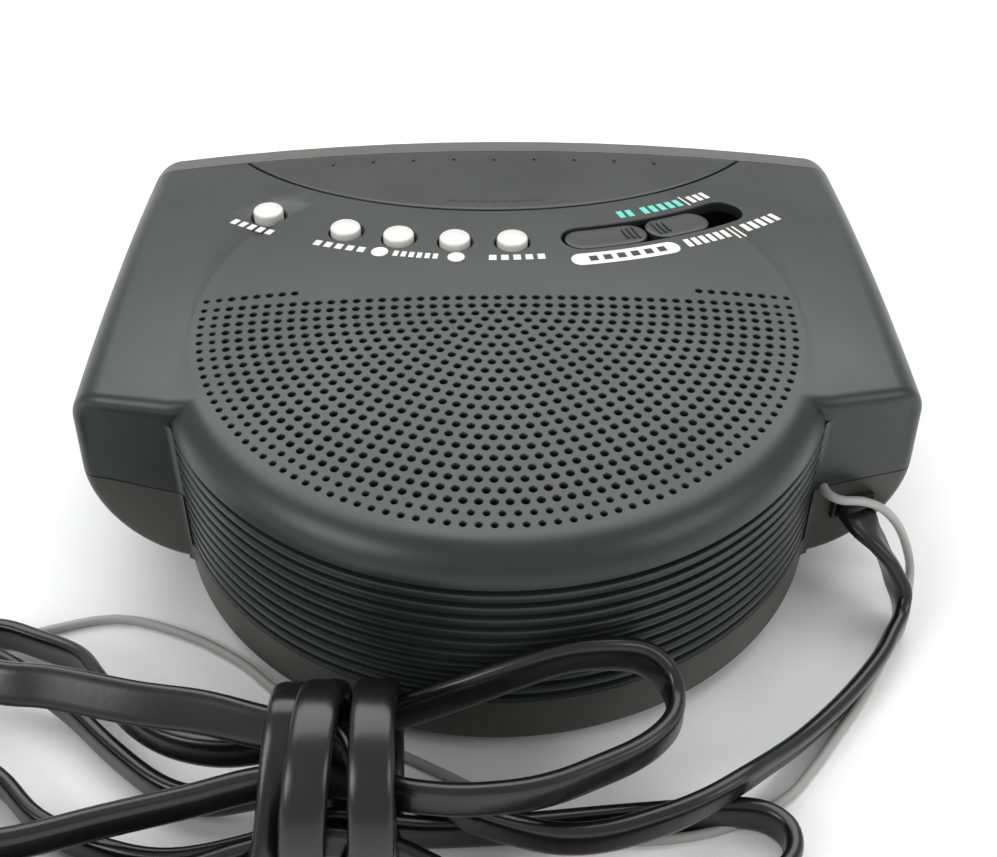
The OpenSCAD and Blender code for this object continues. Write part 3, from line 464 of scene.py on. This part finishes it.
def make_antenna_wire():
    """The thin antenna wire and the two turns of its coil."""
    cx, cy, radius = WIRE_COIL
    turns = []
    for i in range(1, COIL_POINTS + 1):
        a = -2 * math.pi * i / TURN_POINTS
        z = 1 + (i / TURN_POINTS if i < TURN_POINTS else 1) * WIRE_D * 0.97
        turns.append((cx + radius * math.cos(a), cy + radius * math.sin(a), z))
    path = [Vector(p) for p in smooth_route(WIRE_OUT + turns, 4)]
    wide = flat_or_edge(path, [0] * len(path))
    return swept_tube("antenna_lead", path, wide, wire_section, WIRE_SIDES), path


# ------------------------------------------------------------------ case shapes

def section_ring(y_of, inset_of):
    """The ring of the wide block's outer section; y_of and inset_of take x and the share of side."""
    half = []
    for x in [0, 12, 24, 36, 48, WING_X, 64, 68]:
        y = y_of(x, 0)
        half.append((x, y, crown_z(x, y, inset_of(0))))
    tilt = math.asin((CORNER_X + 0.9) / CROWN_R)
    tangent_x = CORNER_X + CORNER_R * math.sin(tilt)
    for i in range(15):
        a = tilt + (SIDE_ANGLE - tilt) * i / 14
        side = math.sin((a - tilt) / (SIDE_ANGLE - tilt) * math.pi / 2) ** 2
        inset = inset_of(side)
        x = CORNER_X + CORNER_R * math.sin(a)
        y = y_of(x, side)
        centre_z = crown_z(tangent_x, y) - CORNER_R * math.cos(tilt)
        half.append((x - inset * math.sin(a), y, centre_z + (CORNER_R - inset) * math.cos(a)))
    for i in range(17):
        a = SIDE_ANGLE + (math.pi - SIDE_ANGLE) * i / 16
        side = math.sin(a) ** 2
        r = BELLY_R - inset_of(side)
        x = BELLY_X + r * math.sin(a)
        half.append((x, y_of(x, side), BELLY_Z + r * math.cos(a)))
    low = BELLY_Z - BELLY_R + inset_of(0)
    half += [(WING_X, y_of(WING_X, 0), low), (0, y_of(0, 0), low)]
    return half + [(-x, y, z) for x, y, z in reversed(half[1:-1])]


def rear_y(x):
    return DRUM_Y + WING_BACK - WING_SLOPE * max(0.0, x - WING_X)


def front_round(side):
    """Radius of the front edge: small along the top, large round the sides."""
    return FRONT_FILLET + (SIDE_FILLET - FRONT_FILLET) * side


def make_block(name, sink=0.0):
    """The wide part of the case as one closed solid, with its long edges rounded."""
    stations = []
    for i in range(11):
        a = math.pi / 2 * (1 - i / 10)
        stations.append((
            lambda x, side, a=a: FRONT_Y + sink + front_round(side) * (1 - math.sin(a)),
            lambda side, a=a: sink + front_round(side) * (1 - math.cos(a))))
    for y in (-61, -60, -55, -50, -44, -36, -28, -20, -12, -4, 4, 12):
        stations.append((lambda x, side, y=y: y, lambda side: sink))
    for i in range(9):
        a = math.pi / 2 * i / 8
        d = WING_FILLET * (1 - math.sin(a)) + sink
        stations.append((
            lambda x, side, d=d: rear_y(x) - d,
            lambda side, a=a: WING_FILLET * (1 - math.cos(a)) + sink))
    verts = []
    for y_of, inset in stations:
        verts += section_ring(y_of, inset)
    n = len(verts) // len(stations)
    faces = []
    for s in range(len(stations) - 1):
        for i in range(n):
            j = (i + 1) % n
            faces.append((s * n + i, s * n + j, (s + 1) * n + j, (s + 1) * n + i))
    faces.append(tuple(range(n)))
    last = (len(stations) - 1) * n
    ring = verts[last:]
    right = [last + i for i, p in enumerate(ring) if p[0] >= WING_X - 1e-6]
    left = [last + i for i, p in enumerate(ring) if p[0] <= -WING_X + 1e-6]
    middle = [last + i for i, p in enumerate(ring) if abs(p[0]) <= WING_X + 1e-6]
    faces += [tuple(right), tuple(left), tuple(middle)]
    return mesh_object(name, verts, faces)


def crown_profile(sink):
    out_to = DRUM_R - RIM_R
    return [(out_to * i / 24, crown_z(out_to * i / 24, DRUM_Y, sink)) for i in range(25)]


def drum_profile(sink=0.0):
    """Half section of the drum from the top's middle down to the floor, grooves included."""
    rim_z = crown_z(0, DRUM_Y + DRUM_R - RIM_R) - RIM_R
    points = crown_profile(sink)
    for i in range(1, 17):
        a = math.pi / 2 * i / 16
        r = RIM_R - sink
        points.append((DRUM_R - RIM_R + r * math.sin(a), rim_z + r * math.cos(a)))
    if sink == 0:
        for k in range(GROOVES):
            z = GROOVE_TOP_Z - k * GROOVE_PITCH
            h = GROOVE_H / 2
            points += [
                (DRUM_R, z + h + 0.22), (DRUM_R - 0.07, z + h + 0.07), (DRUM_R - 0.22, z + h),
                (DRUM_R - GROOVE_DEPTH, z + h - 0.06), (DRUM_R - GROOVE_DEPTH, z - h + 0.06),
                (DRUM_R - 0.22, z - h), (DRUM_R - 0.07, z - h - 0.07), (DRUM_R, z - h - 0.22),
            ]
        points += [
            (DRUM_R, FOOT_H + 0.5), (DRUM_R - 0.15, FOOT_H + 0.15), (DRUM_R - 0.5, FOOT_H),
            (DRUM_R - 1.7, FOOT_H), (DRUM_R - 2.0, BASE_Z),
        ]
    else:
        points += [(DRUM_R - sink, FOOT_H + sink)]
    points += [(0, points[-1][1])]
    return points


def make_drum(name, sink=0.0):
    return lathe(name, drum_profile(sink), (0, DRUM_Y))


def make_form(name, sink=0.0):
    """The whole outer shape of the case: the block joined with the drum."""
    return boolean(make_block(name, sink), make_drum("drum", sink), "UNION")


def make_coves():
    """Small fillets that fill the corners where the drum meets the wings."""
    parts = []
    r = COVE_R
    slope = math.atan(WING_SLOPE)
    nx, ny = math.sin(slope), math.cos(slope)
    for side in (1, -1):
        # centre of a circle that touches both the drum and the wing's rear face
        best = None
        for step in range(400):
            x = WING_X - 4 + step * 0.05
            y = rear_y(x) + r / ny if x > WING_X else DRUM_Y + WING_BACK + r
            gap = math.hypot(x, y - DRUM_Y) - (DRUM_R + r)
            if best is None or abs(gap) < best[0]:
                best = (abs(gap), x, y)
        _, cx, cy = best
        touch_drum = (cx * DRUM_R / (DRUM_R + r), DRUM_Y + (cy - DRUM_Y) * DRUM_R / (DRUM_R + r))
        touch_wing = (cx - nx * r, cy - ny * r)
        start = math.atan2(touch_drum[1] - cy, touch_drum[0] - cx)
        end = math.atan2(touch_wing[1] - cy, touch_wing[0] - cx)
        outline = [(cx + r * math.cos(start + (end - start) * i / 8),
                    cy + r * math.sin(start + (end - start) * i / 8)) for i in range(9)]
        outline += [(touch_wing[0] - 1, touch_wing[1] - 2), (touch_drum[0] - 2, touch_drum[1] - 1)]
        outline = [(side * x, y) for x, y in outline]
        parts.append(prism("cove", outline, *COVE_Z))
    return joined("coves", parts)


# ------------------------------------------------------------------ openings

def hole_places():
    """Centres of the grille's holes: rings about the middle, straight rows at the front."""
    places = [(0.0, DRUM_Y)]
    for k in range(1, RINGS + 1):
        for j in range(3 * k + 1):
            a = math.pi * j / (3 * k)
            places.append((k * HOLE_PITCH * math.cos(a), DRUM_Y + k * HOLE_PITCH * math.sin(a)))
    for k in range(-RINGS, RINGS + 1):
        places.append((k * HOLE_PITCH, DRUM_Y - 1.05 * HOLE_PITCH))
    for k in range(16, RINGS + 1):
        y = DRUM_Y - (2.55 - 0.035 * (k - 16)) * HOLE_PITCH
        places += [(k * HOLE_PITCH, y), (-k * HOLE_PITCH, y)]
    return places


def make_hole_cutter():
    verts = []
    faces = []
    sides = 14
    for x, y in hole_places():
        ring = math.hypot(x, y - DRUM_Y) / HOLE_PITCH
        r = HOLE_R if ring < 21.5 else HOLE_R * 0.82
        top = crown_z(x, y)
        layers = [(r, top - 6), (r, top - 0.26), (r + 0.05, top - 0.10), (r + 0.17, top + 0.03),
                  (r + 0.5, top + 0.6)]
        start = len(verts)
        for radius, z in layers:
            for i in range(sides):
                a = 2 * math.pi * i / sides
                verts.append((x + radius * math.cos(a), y + radius * math.sin(a), z))
        faces.append(tuple(range(start, start + sides)))
        faces.append(tuple(range(start + 4 * sides, start + 5 * sides)))
        for k in range(4):
            for i in range(sides):
                j = (i + 1) % sides
                a, b = start + k * sides, start + (k + 1) * sides
                faces.append((a + i, a + j, b + j, b + i))
    return mesh_object("holes", verts, faces)


def slot_outline(inset, r0=None, r1=None, a0=None, a1=None, steps=24, end=6):
    """A curved slot with half-round ends, between two radii and two angles on the key arc."""
    r0, r1, a0, a1 = (v if g is None else g for v, g in zip(SLOT, (r0, r1, a0, a1)))
    r0, r1 = r0 + inset, r1 - inset
    mid, half = (r0 + r1) / 2, (r1 - r0) / 2
    ease = math.degrees((half + inset) / mid)
    a0, a1 = a0 + ease, a1 - ease
    points = [key_point(a0 + (a1 - a0) * i / steps, r1) for i in range(steps + 1)]
    for centre, sign in ((a1, 1), (a0, -1)):
        cx, cy = key_point(centre, mid)
        rad = math.radians(centre)
        out = Vector((-math.sin(rad), math.cos(rad)))
        side = Vector((-math.cos(rad), -math.sin(rad))) * sign
        for i in range(1, 2 * end):
            t = math.pi * i / (2 * end)
            c = math.cos(t) if sign > 0 else -math.cos(t)
            d = out * (half * c) + side * (half * math.sin(t))
            points.append((cx + d.x, cy + d.y))
        if sign > 0:
            points += [key_point(a1 + (a0 - a1) * i / steps, r0) for i in range(steps + 1)]
    return points


def snooze_outline(inset, grow=0.0, steps=64):
    """Segment between the rear arc and the front parting line."""
    r = SNOOZE_R - inset + grow
    chord = SEAM_Y + inset - grow
    half = math.acos((chord - KEY_ARC_Y) / r)
    arc = [(-r * math.sin(-half + 2 * half * i / steps),
            KEY_ARC_Y + r * math.cos(-half + 2 * half * i / steps)) for i in range(steps + 1)]
    x0, x1 = arc[-1][0], arc[0][0]
    front = [(x0 + (x1 - x0) * i / steps, chord) for i in range(1, steps)]
    return arc + front


def ring_of(centre, radius):
    steps = 32
    return [(centre[0] + radius * math.cos(2 * math.pi * i / steps),
             centre[1] + radius * math.sin(2 * math.pi * i / steps)) for i in range(steps)]


def well_cutters():
    """Wells of the five buttons with eased edges, and the shallow dish about the sleep button."""
    parts = []
    for name, angle in KEYS.items():
        at = key_point(angle)
        z = crown_z(*at) - (DISH_DROP if name == "sleep_button" else 0.0)
        r = KEY_R + WELL_GAP
        parts.append(lathe("well", [
            (0, z - 12), (r, z - 12), (r, z - 0.35), (r + 0.12, z - 0.12), (r + 0.38, z + 0.06),
            (r + 0.9, z + 0.6), (0, z + 0.6)], at, 40))
    return parts


def dish_cutter():
    """A shallow spherical dish for the sleep button."""
    at = key_point(KEYS["sleep_button"])
    z = crown_z(*at)
    reach, depth = 7.6, 0.85
    ball = (reach ** 2 + depth ** 2) / (2 * depth)
    points = [(0, z - depth)]
    for i in range(1, 13):
        r = reach * 1.25 * i / 12
        points.append((r, z - depth + ball - math.sqrt(ball * ball - r * r)))
    points.append((0, points[-1][1]))
    return lathe("dish", points, at, 64)


# ------------------------------------------------------------------ case pieces

def lowered_crown(sink):
    return lambda x, y: crown_z(x, y) - sink


def make_case():
    """Top cover, bottom cover and front cabinet, cut out of one outer form."""
    form = make_form("form")
    boolean(form, make_coves(), "UNION")
    hollow = make_form("hollow", WALL)
    boolean(form, hollow, "DIFFERENCE")

    behind = SEAM_Y + SEAM_GAP
    above = block("above", (-100, behind, SEAM_Z + SEAM_GAP / 2), (100, 100, 80))
    skirt_y = DRUM_Y + WING_BACK - 1.0
    skirt = boolean(
        block("skirt", (-100, skirt_y, BAND_TOP + SEAM_GAP / 2), (100, 100, 40)),
        lathe("skirt_round", [(0, 0), (DRUM_R + 0.02, 0), (DRUM_R + 0.02, 60), (0, 60)], (0, DRUM_Y)),
        "INTERSECT")
    boolean(above, skirt, "UNION", keep=True)

    top = boolean(copy_of(form, "top_cover_shell"), above, "INTERSECT")
    low_zone = block("low_zone", (-100, behind, -1), (100, 100, SEAM_Z - SEAM_GAP / 2))
    gap = boolean(
        block("gap", (-100, skirt_y - SEAM_GAP, BAND_TOP - SEAM_GAP / 2), (100, 100, 41)),
        lathe("gap_round", [(0, 0), (DRUM_R + 0.3, 0), (DRUM_R + 0.3, 60), (0, 60)], (0, DRUM_Y)),
        "INTERSECT")
    boolean(low_zone, gap, "DIFFERENCE")
    bpy.data.objects.remove(skirt)
    bottom = boolean(copy_of(form, "bottom_cover_shell"), low_zone, "INTERSECT")
    front = boolean(form, block("ahead", (-100, -100, -1), (100, SEAM_Y, 80)), "INTERSECT")
    front.name = "front_cabinet_shell"
    return top, bottom, front


def cut_top(top):
    """Grille holes, wells, slot, dish and the opening of the snooze bar."""
    boolean(top, dish_cutter(), "DIFFERENCE")
    for cutter in well_cutters():
        boolean(top, cutter, "DIFFERENCE")
    ease = [(0.0, lowered_crown(12)), (0.0, lowered_crown(0.4)), (-0.12, lowered_crown(0.12)),
            (-0.4, lowered_crown(-0.05)), (-0.8, lowered_crown(-0.6))]
    boolean(top, rounded_layers("slot", slot_outline, ease), "DIFFERENCE")
    ease = [(0.0, lowered_crown(12)), (0.0, lowered_crown(0.35)), (-0.1, lowered_crown(0.12)),
            (-0.35, lowered_crown(-0.05)), (-0.8, lowered_crown(-0.6))]
    opening = rounded_layers("opening", lambda inset: snooze_outline(inset, 0.42), ease)
    boolean(top, opening, "DIFFERENCE")
    boolean(top, make_hole_cutter(), "DIFFERENCE")
    return top


def make_snooze_bar():
    """The curved press bar, with its rounded edge."""
    layers = [(0.25, lowered_crown(9)), (0.0, lowered_crown(8.5)), (0.0, lowered_crown(0.45)),
              (0.1, lowered_crown(0.15)), (0.28, lowered_crown(0.02)), (0.55, lowered_crown(-0.04))]
    inset = 1.2
    while inset < 13.5:
        layers.append((inset, lowered_crown(-0.05)))
        inset += 1.2
    return rounded_layers("snooze_press_bar", snooze_outline, layers)


def ground_box(name, centre, along, length, width, height, sink=0.0):
    """A low block with eased edges that follows the domed top."""
    ux, uy = math.cos(along), math.sin(along)

    def outline(inset):
        a, b = length / 2 - inset, width / 2 - inset
        points = []
        for s, t in ((-1, -1), (1, -1), (1, 1), (-1, 1)):
            points.append((centre[0] + s * a * ux - t * b * uy, centre[1] + s * a * uy + t * b * ux))
        return points
    layers = [(0, lowered_crown(0.3 + sink)), (0, lowered_crown(sink - height * 0.6)),
              (height * 0.4, lowered_crown(sink - height))]
    return rounded_layers(name, outline, layers)


def make_snooze_ticks():
    """Raised ticks along the bar's front edge."""
    parts = []
    for i in range(9):
        x = (i - 4) * 9.2
        tall = 2.4 if i in (0, 4, 8) else 1.6
        parts.append(ground_box("tick", (x, SEAM_Y + 4.2), math.pi / 2, tall, 0.7, 0.28, -0.02))
    return joined("snooze_ticks", parts)


def make_snooze_marks():
    """Faint generic bars near the bar's rear arc."""
    parts = []
    for i in range(9):
        angle = -8.4 + 2.1 * i
        at = key_point(angle, SNOOZE_R - 4.2)
        parts.append(ground_box("bar", at, -math.radians(angle), 1.9, 1.5, 0.07, -0.04))
    return joined("snooze_marks", parts)


def make_button(name):
    """A domed push button that slides in its well."""
    at = key_point(KEYS[name])
    z = crown_z(*at) - (DISH_DROP if name == "sleep_button" else 0.0)
    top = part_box(name)[1].z / MM
    dome = 0.75
    edge = 0.75
    profile = [(0, z - 8), (KEY_R, z - 8), (KEY_R, top - dome - 0.45)]
    for i in range(1, 6):
        a = math.pi / 2 * i / 5
        r = KEY_R - edge * (1 - math.cos(a)) * 0.8
        profile.append((r, top - dome - 0.45 + edge * 0.75 * math.sin(a)))
    r_top = profile[-1][0]
    z_edge = profile[-1][1]
    for i in range(1, 9):
        r = r_top * (1 - i / 8)
        profile.append((r, z_edge + (top - z_edge) * (1 - (r / r_top) ** 2)))
    return lathe(name + "_cap", profile, at, 64)


def slider(name, a0, a1, tip_side):
    """A slider that fills a stretch of the curved slot and has a raised thumb tip."""
    r0, r1 = SLOT[0] + KNOB_GAP, SLOT[1] - KNOB_GAP

    def outline(inset):
        return slot_outline(inset, r0, r1, a0, a1, 20, 6)
    layers = [(0, lowered_crown(4)), (0, lowered_crown(0.75)), (0.14, lowered_crown(0.42)),
              (0.42, lowered_crown(0.28)), (1.0, lowered_crown(0.26)), (2.2, lowered_crown(0.3)),
              (3.4, lowered_crown(0.32))]
    body = rounded_layers(name, outline, layers)
    tip_a = a1 - 1.6 if tip_side else a0 + 1.6
    tip = []
    for i in range(3):
        at = key_point(tip_a - 0.85 * i if tip_side else tip_a + 0.85 * i)
        across = math.radians(tip_a) + math.pi / 2
        tip.append(ground_box("rib", at, across, 4.6 - 0.5 * i, 0.55, 0.3, 0.28))
    return body, tip


# ------------------------------------------------------------------ printed marks

def arc_mark(name, r0, r1, a0, a1, round_ends=False, lift=0.05, steps=6):
    """A thin printed band on the domed top, between two radii and two angles of the key arc."""
    mid, half = (r0 + r1) / 2, (r1 - r0) / 2
    ease = math.degrees(half / mid)
    angles = [a0 + (a1 - a0) * i / steps for i in range(steps + 1)]
    if round_ends:
        turn = [math.pi / 2 * i / 6 for i in range(7)]
        angles = [a0 + ease * (1 - math.cos(t)) for t in turn]
        angles += [a0 + ease + (a1 - a0 - 2 * ease) * i / 14 for i in range(1, 14)]
        angles += [a1 - ease * (1 - math.cos(t)) for t in reversed(turn)]
    verts = []
    for angle in angles:
        h = half
        if round_ends:
            d = max(0.0, 1 - min(angle - a0, a1 - angle) / ease)
            h = half * math.sqrt(max(0.0, 1 - d * d)) + 0.01
        for radius in (mid - h, mid, mid + h):
            x, y = key_point(angle, radius)
            verts.append((x, y, crown_z(x, y) + lift))
            verts.append((x, y, crown_z(x, y) - 0.2))
    n = len(angles)
    faces = [(0, 1, 3, 5, 4, 2), tuple(6 * (n - 1) + k for k in (0, 2, 4, 5, 3, 1))]
    for i in range(n - 1):
        a, b = 6 * i, 6 * (i + 1)
        faces += [(a, a + 2, b + 2, b), (a + 2, a + 4, b + 4, b + 2), (a + 4, a + 5, b + 5, b + 4),
                  (a + 5, a + 3, b + 3, b + 5), (a + 3, a + 1, b + 1, b + 3), (a + 1, a, b, b + 1)]
    return mesh_object(name, verts, faces)


def band_of_bars(r0, r1, a0, a1, count, fill=0.62):
    """Short bars side by side along the key arc, in place of printed words."""
    step = (a1 - a0) / count
    return [arc_mark("bar", r0, r1, a0 + step * (i + (1 - fill) / 2),
                     a0 + step * (i + (1 + fill) / 2), steps=2) for i in range(count)]


def make_marks():
    """Generic printed marks: bars, dots and a pill in white, and bars in teal."""
    white = [arc_mark("pill", 89.0, 93.2, 9.6, 24.6, True)]
    white += band_of_bars(89.3, 92.2, 25.6, 33.0, 6)
    white += [arc_mark("line", 89.0, 93.6, 33.4, 33.7), arc_mark("line", 89.0, 93.6, 34.3, 34.6)]
    white += band_of_bars(89.3, 92.2, 35.4, 42.6, 5)
    white += [arc_mark("line", 73.4, 77.6, 33.1, 33.4)]
    white += band_of_bars(74.2, 77.0, 34.0, 38.4, 3)
    teal = band_of_bars(74.2, 77.0, 20.0, 23.2, 2) + band_of_bars(74.2, 77.0, 24.4, 32.6, 5)
    for name, shift in (("sleep_button", 0.4), ("alarm_button", 0.9), ("clock_button", 0.4)):
        angle = KEYS[name]
        white += band_of_bars(88.0, 89.9, angle - 4.0 + shift, angle + 4.0 + shift, 5)
    minute, hour = KEYS["minute_button"], KEYS["hour_button"]
    white += band_of_bars(88.0, 89.9, minute + 0.2, hour - 1.6, 6)
    for angle in (minute - 1.5, hour + 0.6):
        at = key_point(angle, 88.95)
        layers = [(0, lowered_crown(0.3)), (0, lowered_crown(-0.05))]
        white.append(rounded_layers("dot", lambda inset, at=at: ring_of(at, 1.75 - inset), layers))
    dark = [arc_mark("bar", 90.2, 92.0, 12 + 1.9 * i, 13.1 + 1.9 * i, lift=0.09, steps=2)
            for i in range(6)]
    return (joined("printed_marks_white", white), joined("printed_marks_teal", teal),
            joined("printed_marks_dark", dark))


# ------------------------------------------------------------------ materials

def new_material(name, colour, roughness, metallic=0.0):
    material = bpy.data.materials.new(name)
    material.use_nodes = True
    shader = material.node_tree.nodes["Principled BSDF"]
    shader.inputs["Base Color"].default_value = (*colour, 1)
    shader.inputs["Roughness"].default_value = roughness
    shader.inputs["Metallic"].default_value = metallic
    return material, material.node_tree, shader


def grain(tree, scale, detail=3.0):
    """Noise in object space, scale in features per metre."""
    place = tree.nodes.new("ShaderNodeTexCoord")
    noise_node = tree.nodes.new("ShaderNodeTexNoise")
    noise_node.inputs["Scale"].default_value = scale
    noise_node.inputs["Detail"].default_value = detail
    tree.links.new(place.outputs["Object"], noise_node.inputs["Vector"])
    return noise_node


def ramp(tree, source, stops):
    node = tree.nodes.new("ShaderNodeValToRGB")
    node.color_ramp.elements[0].position = stops[0][0]
    node.color_ramp.elements[0].color = (*stops[0][1], 1)
    node.color_ramp.elements[1].position = stops[1][0]
    node.color_ramp.elements[1].color = (*stops[1][1], 1)
    tree.links.new(source, node.inputs["Fac"])
    return node


def bump(tree, shader, source, strength, distance):
    node = tree.nodes.new("ShaderNodeBump")
    node.inputs["Strength"].default_value = strength
    node.inputs["Distance"].default_value = distance
    tree.links.new(source, node.inputs["Height"])
    tree.links.new(node.outputs["Normal"], shader.inputs["Normal"])


def scaled(colour, factor):
    return tuple(min(1.0, c * factor) for c in colour)


def moulded(name, colour, roughness=0.45, fine=2600, depth=0.00002, vary=0.12, coat=0.0):
    """Moulded plastic: fine grain, patchy sheen and slight colour drift."""
    material, tree, shader = new_material(name, colour, roughness)
    texture = grain(tree, fine)
    patches = grain(tree, 45, 4)
    tint = ramp(tree, patches.outputs["Fac"],
                [(0.3, scaled(colour, 1 - vary)), (0.7, scaled(colour, 1 + vary))])
    gloss = tree.nodes.new("ShaderNodeMapRange")
    gloss.inputs["From Min"].default_value = 0.3
    gloss.inputs["From Max"].default_value = 0.7
    gloss.inputs["To Min"].default_value = roughness - 0.05
    gloss.inputs["To Max"].default_value = roughness + 0.06
    tree.links.new(patches.outputs["Fac"], gloss.inputs["Value"])
    tree.links.new(gloss.outputs["Result"], shader.inputs["Roughness"])
    tree.links.new(tint.outputs["Color"], shader.inputs["Base Color"])
    bump(tree, shader, texture.outputs["Fac"], 0.35, depth)
    if coat:
        shader.inputs["Coat Weight"].default_value = coat
        shader.inputs["Coat Roughness"].default_value = 0.15
    return material


MATERIALS = {}


def make_materials():
    """One procedural material for each finish that is painted on a piece."""
    for name, colour, *rest in (
            ("dark_shell", (0.0125, 0.0145, 0.0140), 0.37, 2400, 0.00004),
            ("grey_shell", (0.034, 0.034, 0.030), 0.46, 2400, 0.00004),
            ("taupe_front", (0.085, 0.082, 0.076), 0.44, 2400, 0.00003),
            ("dark_key", (0.0125, 0.013, 0.014), 0.38, 2400, 0.00003),
            ("pearl_key", (0.62, 0.62, 0.58), 0.28, 1800, 0.00001, 0.05, 0.5),
            ("black_part", (0.012, 0.012, 0.012), 0.45),
            ("cord_black", (0.0055, 0.0055, 0.006), 0.26, 700, 0.00006, 0.2),
            ("wire_grey", (0.36, 0.36, 0.35), 0.45, 900, 0.00003, 0.1),
            ("print_white", (0.66, 0.66, 0.64), 0.55, 1500, 0.00002, 0.16),
            ("print_teal", (0.10, 0.52, 0.44), 0.55, 1500, 0.00002, 0.16),
            ("print_faint", (0.014, 0.014, 0.015), 0.6, 1500, 0.00002)):
        MATERIALS[name] = moulded(name, colour, *rest)


def paint(obj, name):
    obj.data.materials.clear()
    obj.data.materials.append(MATERIALS[name])


def paint_nodes():
    """Every node that stays gets the plain black plastic."""
    for node in NODES.values():
        count = max(1, len(node.data.materials))
        node.data.materials.clear()
        for _ in range(count):
            node.data.materials.append(MATERIALS["black_part"])


# ------------------------------------------------------------------ floor and light

def make_floor():
    """A plain pale sweep that curves up a long way off."""
    verts = []
    rows = []
    for i in range(-8, 9):
        y = i / 8 * 2.2
        z = 0.0 if y > -1.2 else (abs(y) - 1.2) ** 2 * 0.9
        rows.append((y, z))
    for y, z in rows:
        verts += [(-3, y, z), (3, y, z)]
    faces = [(2 * i, 2 * i + 1, 2 * i + 3, 2 * i + 2) for i in range(len(rows) - 1)]
    mesh = bpy.data.meshes.new("floor")
    mesh.from_pydata(verts, [], faces)
    floor = bpy.data.objects.new("floor", mesh)
    bpy.context.scene.collection.objects.link(floor)
    material, tree, shader = new_material("floor_paper", (0.86, 0.86, 0.86), 0.75)
    paper = grain(tree, 30, 2)
    tint = ramp(tree, paper.outputs["Fac"], [(0.3, (0.84, 0.84, 0.845)), (0.7, (0.87, 0.87, 0.87))])
    tree.links.new(tint.outputs["Color"], shader.inputs["Base Color"])
    mesh.materials.append(material)


def area_light(name, at, aim, size, power):
    light = bpy.data.lights.new(name, "AREA")
    light.shape = "RECTANGLE"
    light.size, light.size_y = size
    light.energy = power
    obj = bpy.data.objects.new(name, light)
    obj.location = at
    obj.rotation_euler = (Vector(aim) - Vector(at)).to_track_quat("-Z", "Y").to_euler()
    bpy.context.scene.collection.objects.link(obj)


def make_light():
    scene = bpy.context.scene
    world = bpy.data.worlds.new("studio")
    world.use_nodes = True
    world.node_tree.nodes["Background"].inputs["Color"].default_value = (1, 1, 1, 1)
    world.node_tree.nodes["Background"].inputs["Strength"].default_value = 0.62
    scene.world = world
    scene.view_settings.view_transform = "Standard"
    area_light("overhead", (0.0, -0.55, 0.90), (0, 0, 0.02), (1.5, 0.9), 13)
    area_light("rear_left", (0.75, 0.55, 0.6), (0, 0, 0.03), (0.5, 0.5), 4.0)
    area_light("rear_right", (-0.8, 0.45, 0.55), (0, 0, 0.03), (0.4, 0.5), 2.0)


# ------------------------------------------------------------------ the model

make_camera()
make_materials()
paint_nodes()

cord, cord_path = make_mains_cord()
finish_piece(cord, "case", "cord_black", "mains_cord", "cord_bundle", smooth=60)
paint(cord, "cord_black")
wire, wire_path = make_antenna_wire()
finish_piece(wire, "case", "wire_grey", "antenna_wire", "antenna_coil", smooth=60)
paint(wire, "wire_grey")

top, bottom, front = make_case()
cut_top(top)
for shell, node, slot_name in (
        (top, "top_cover", "dark_shell"), (bottom, "bottom_cover", "grey_shell"),
        (front, "front_cabinet", "taupe_front")):
    finish_piece(shell, "case", slot_name, node, smooth=28)
    paint(shell, slot_name)

snooze = make_snooze_bar()
finish_piece(snooze, "snooze", "dark_key", "snooze_bar")
paint(snooze, "dark_key")
ticks = make_snooze_ticks()
finish_piece(ticks, "snooze", "dark_key")
paint(ticks, "dark_key")
faint = make_snooze_marks()
finish_piece(faint, "snooze", "dark_key")
paint(faint, "print_faint")

for key in KEYS:
    cap = make_button(key)
    finish_piece(cap, key.replace("_button", "_key"), "pearl_key", key)
    paint(cap, "pearl_key")

for name, body, a0, a1, tip_side in (
        ("radio_switch_knob", "radio_slider", 9.9, 22.4, True),
        ("alarm_mode_knob", "mode_slider", 22.6, 33.0, False)):
    knob, ribs = slider(name + "_cap", a0, a1, tip_side)
    finish_piece(knob, body, "dark_key", name)
    paint(knob, "dark_key")
    grip = joined(name + "_ribs", ribs)
    finish_piece(grip, body, "dark_key")
    paint(grip, "dark_key")

white, teal, dark_marks = make_marks()
for mark, finish_name in ((white, "print_white"), (teal, "print_teal"), (dark_marks, "print_faint")):
    finish_piece(mark, "case", "white_part")
    paint(mark, finish_name)

make_floor()
make_light()
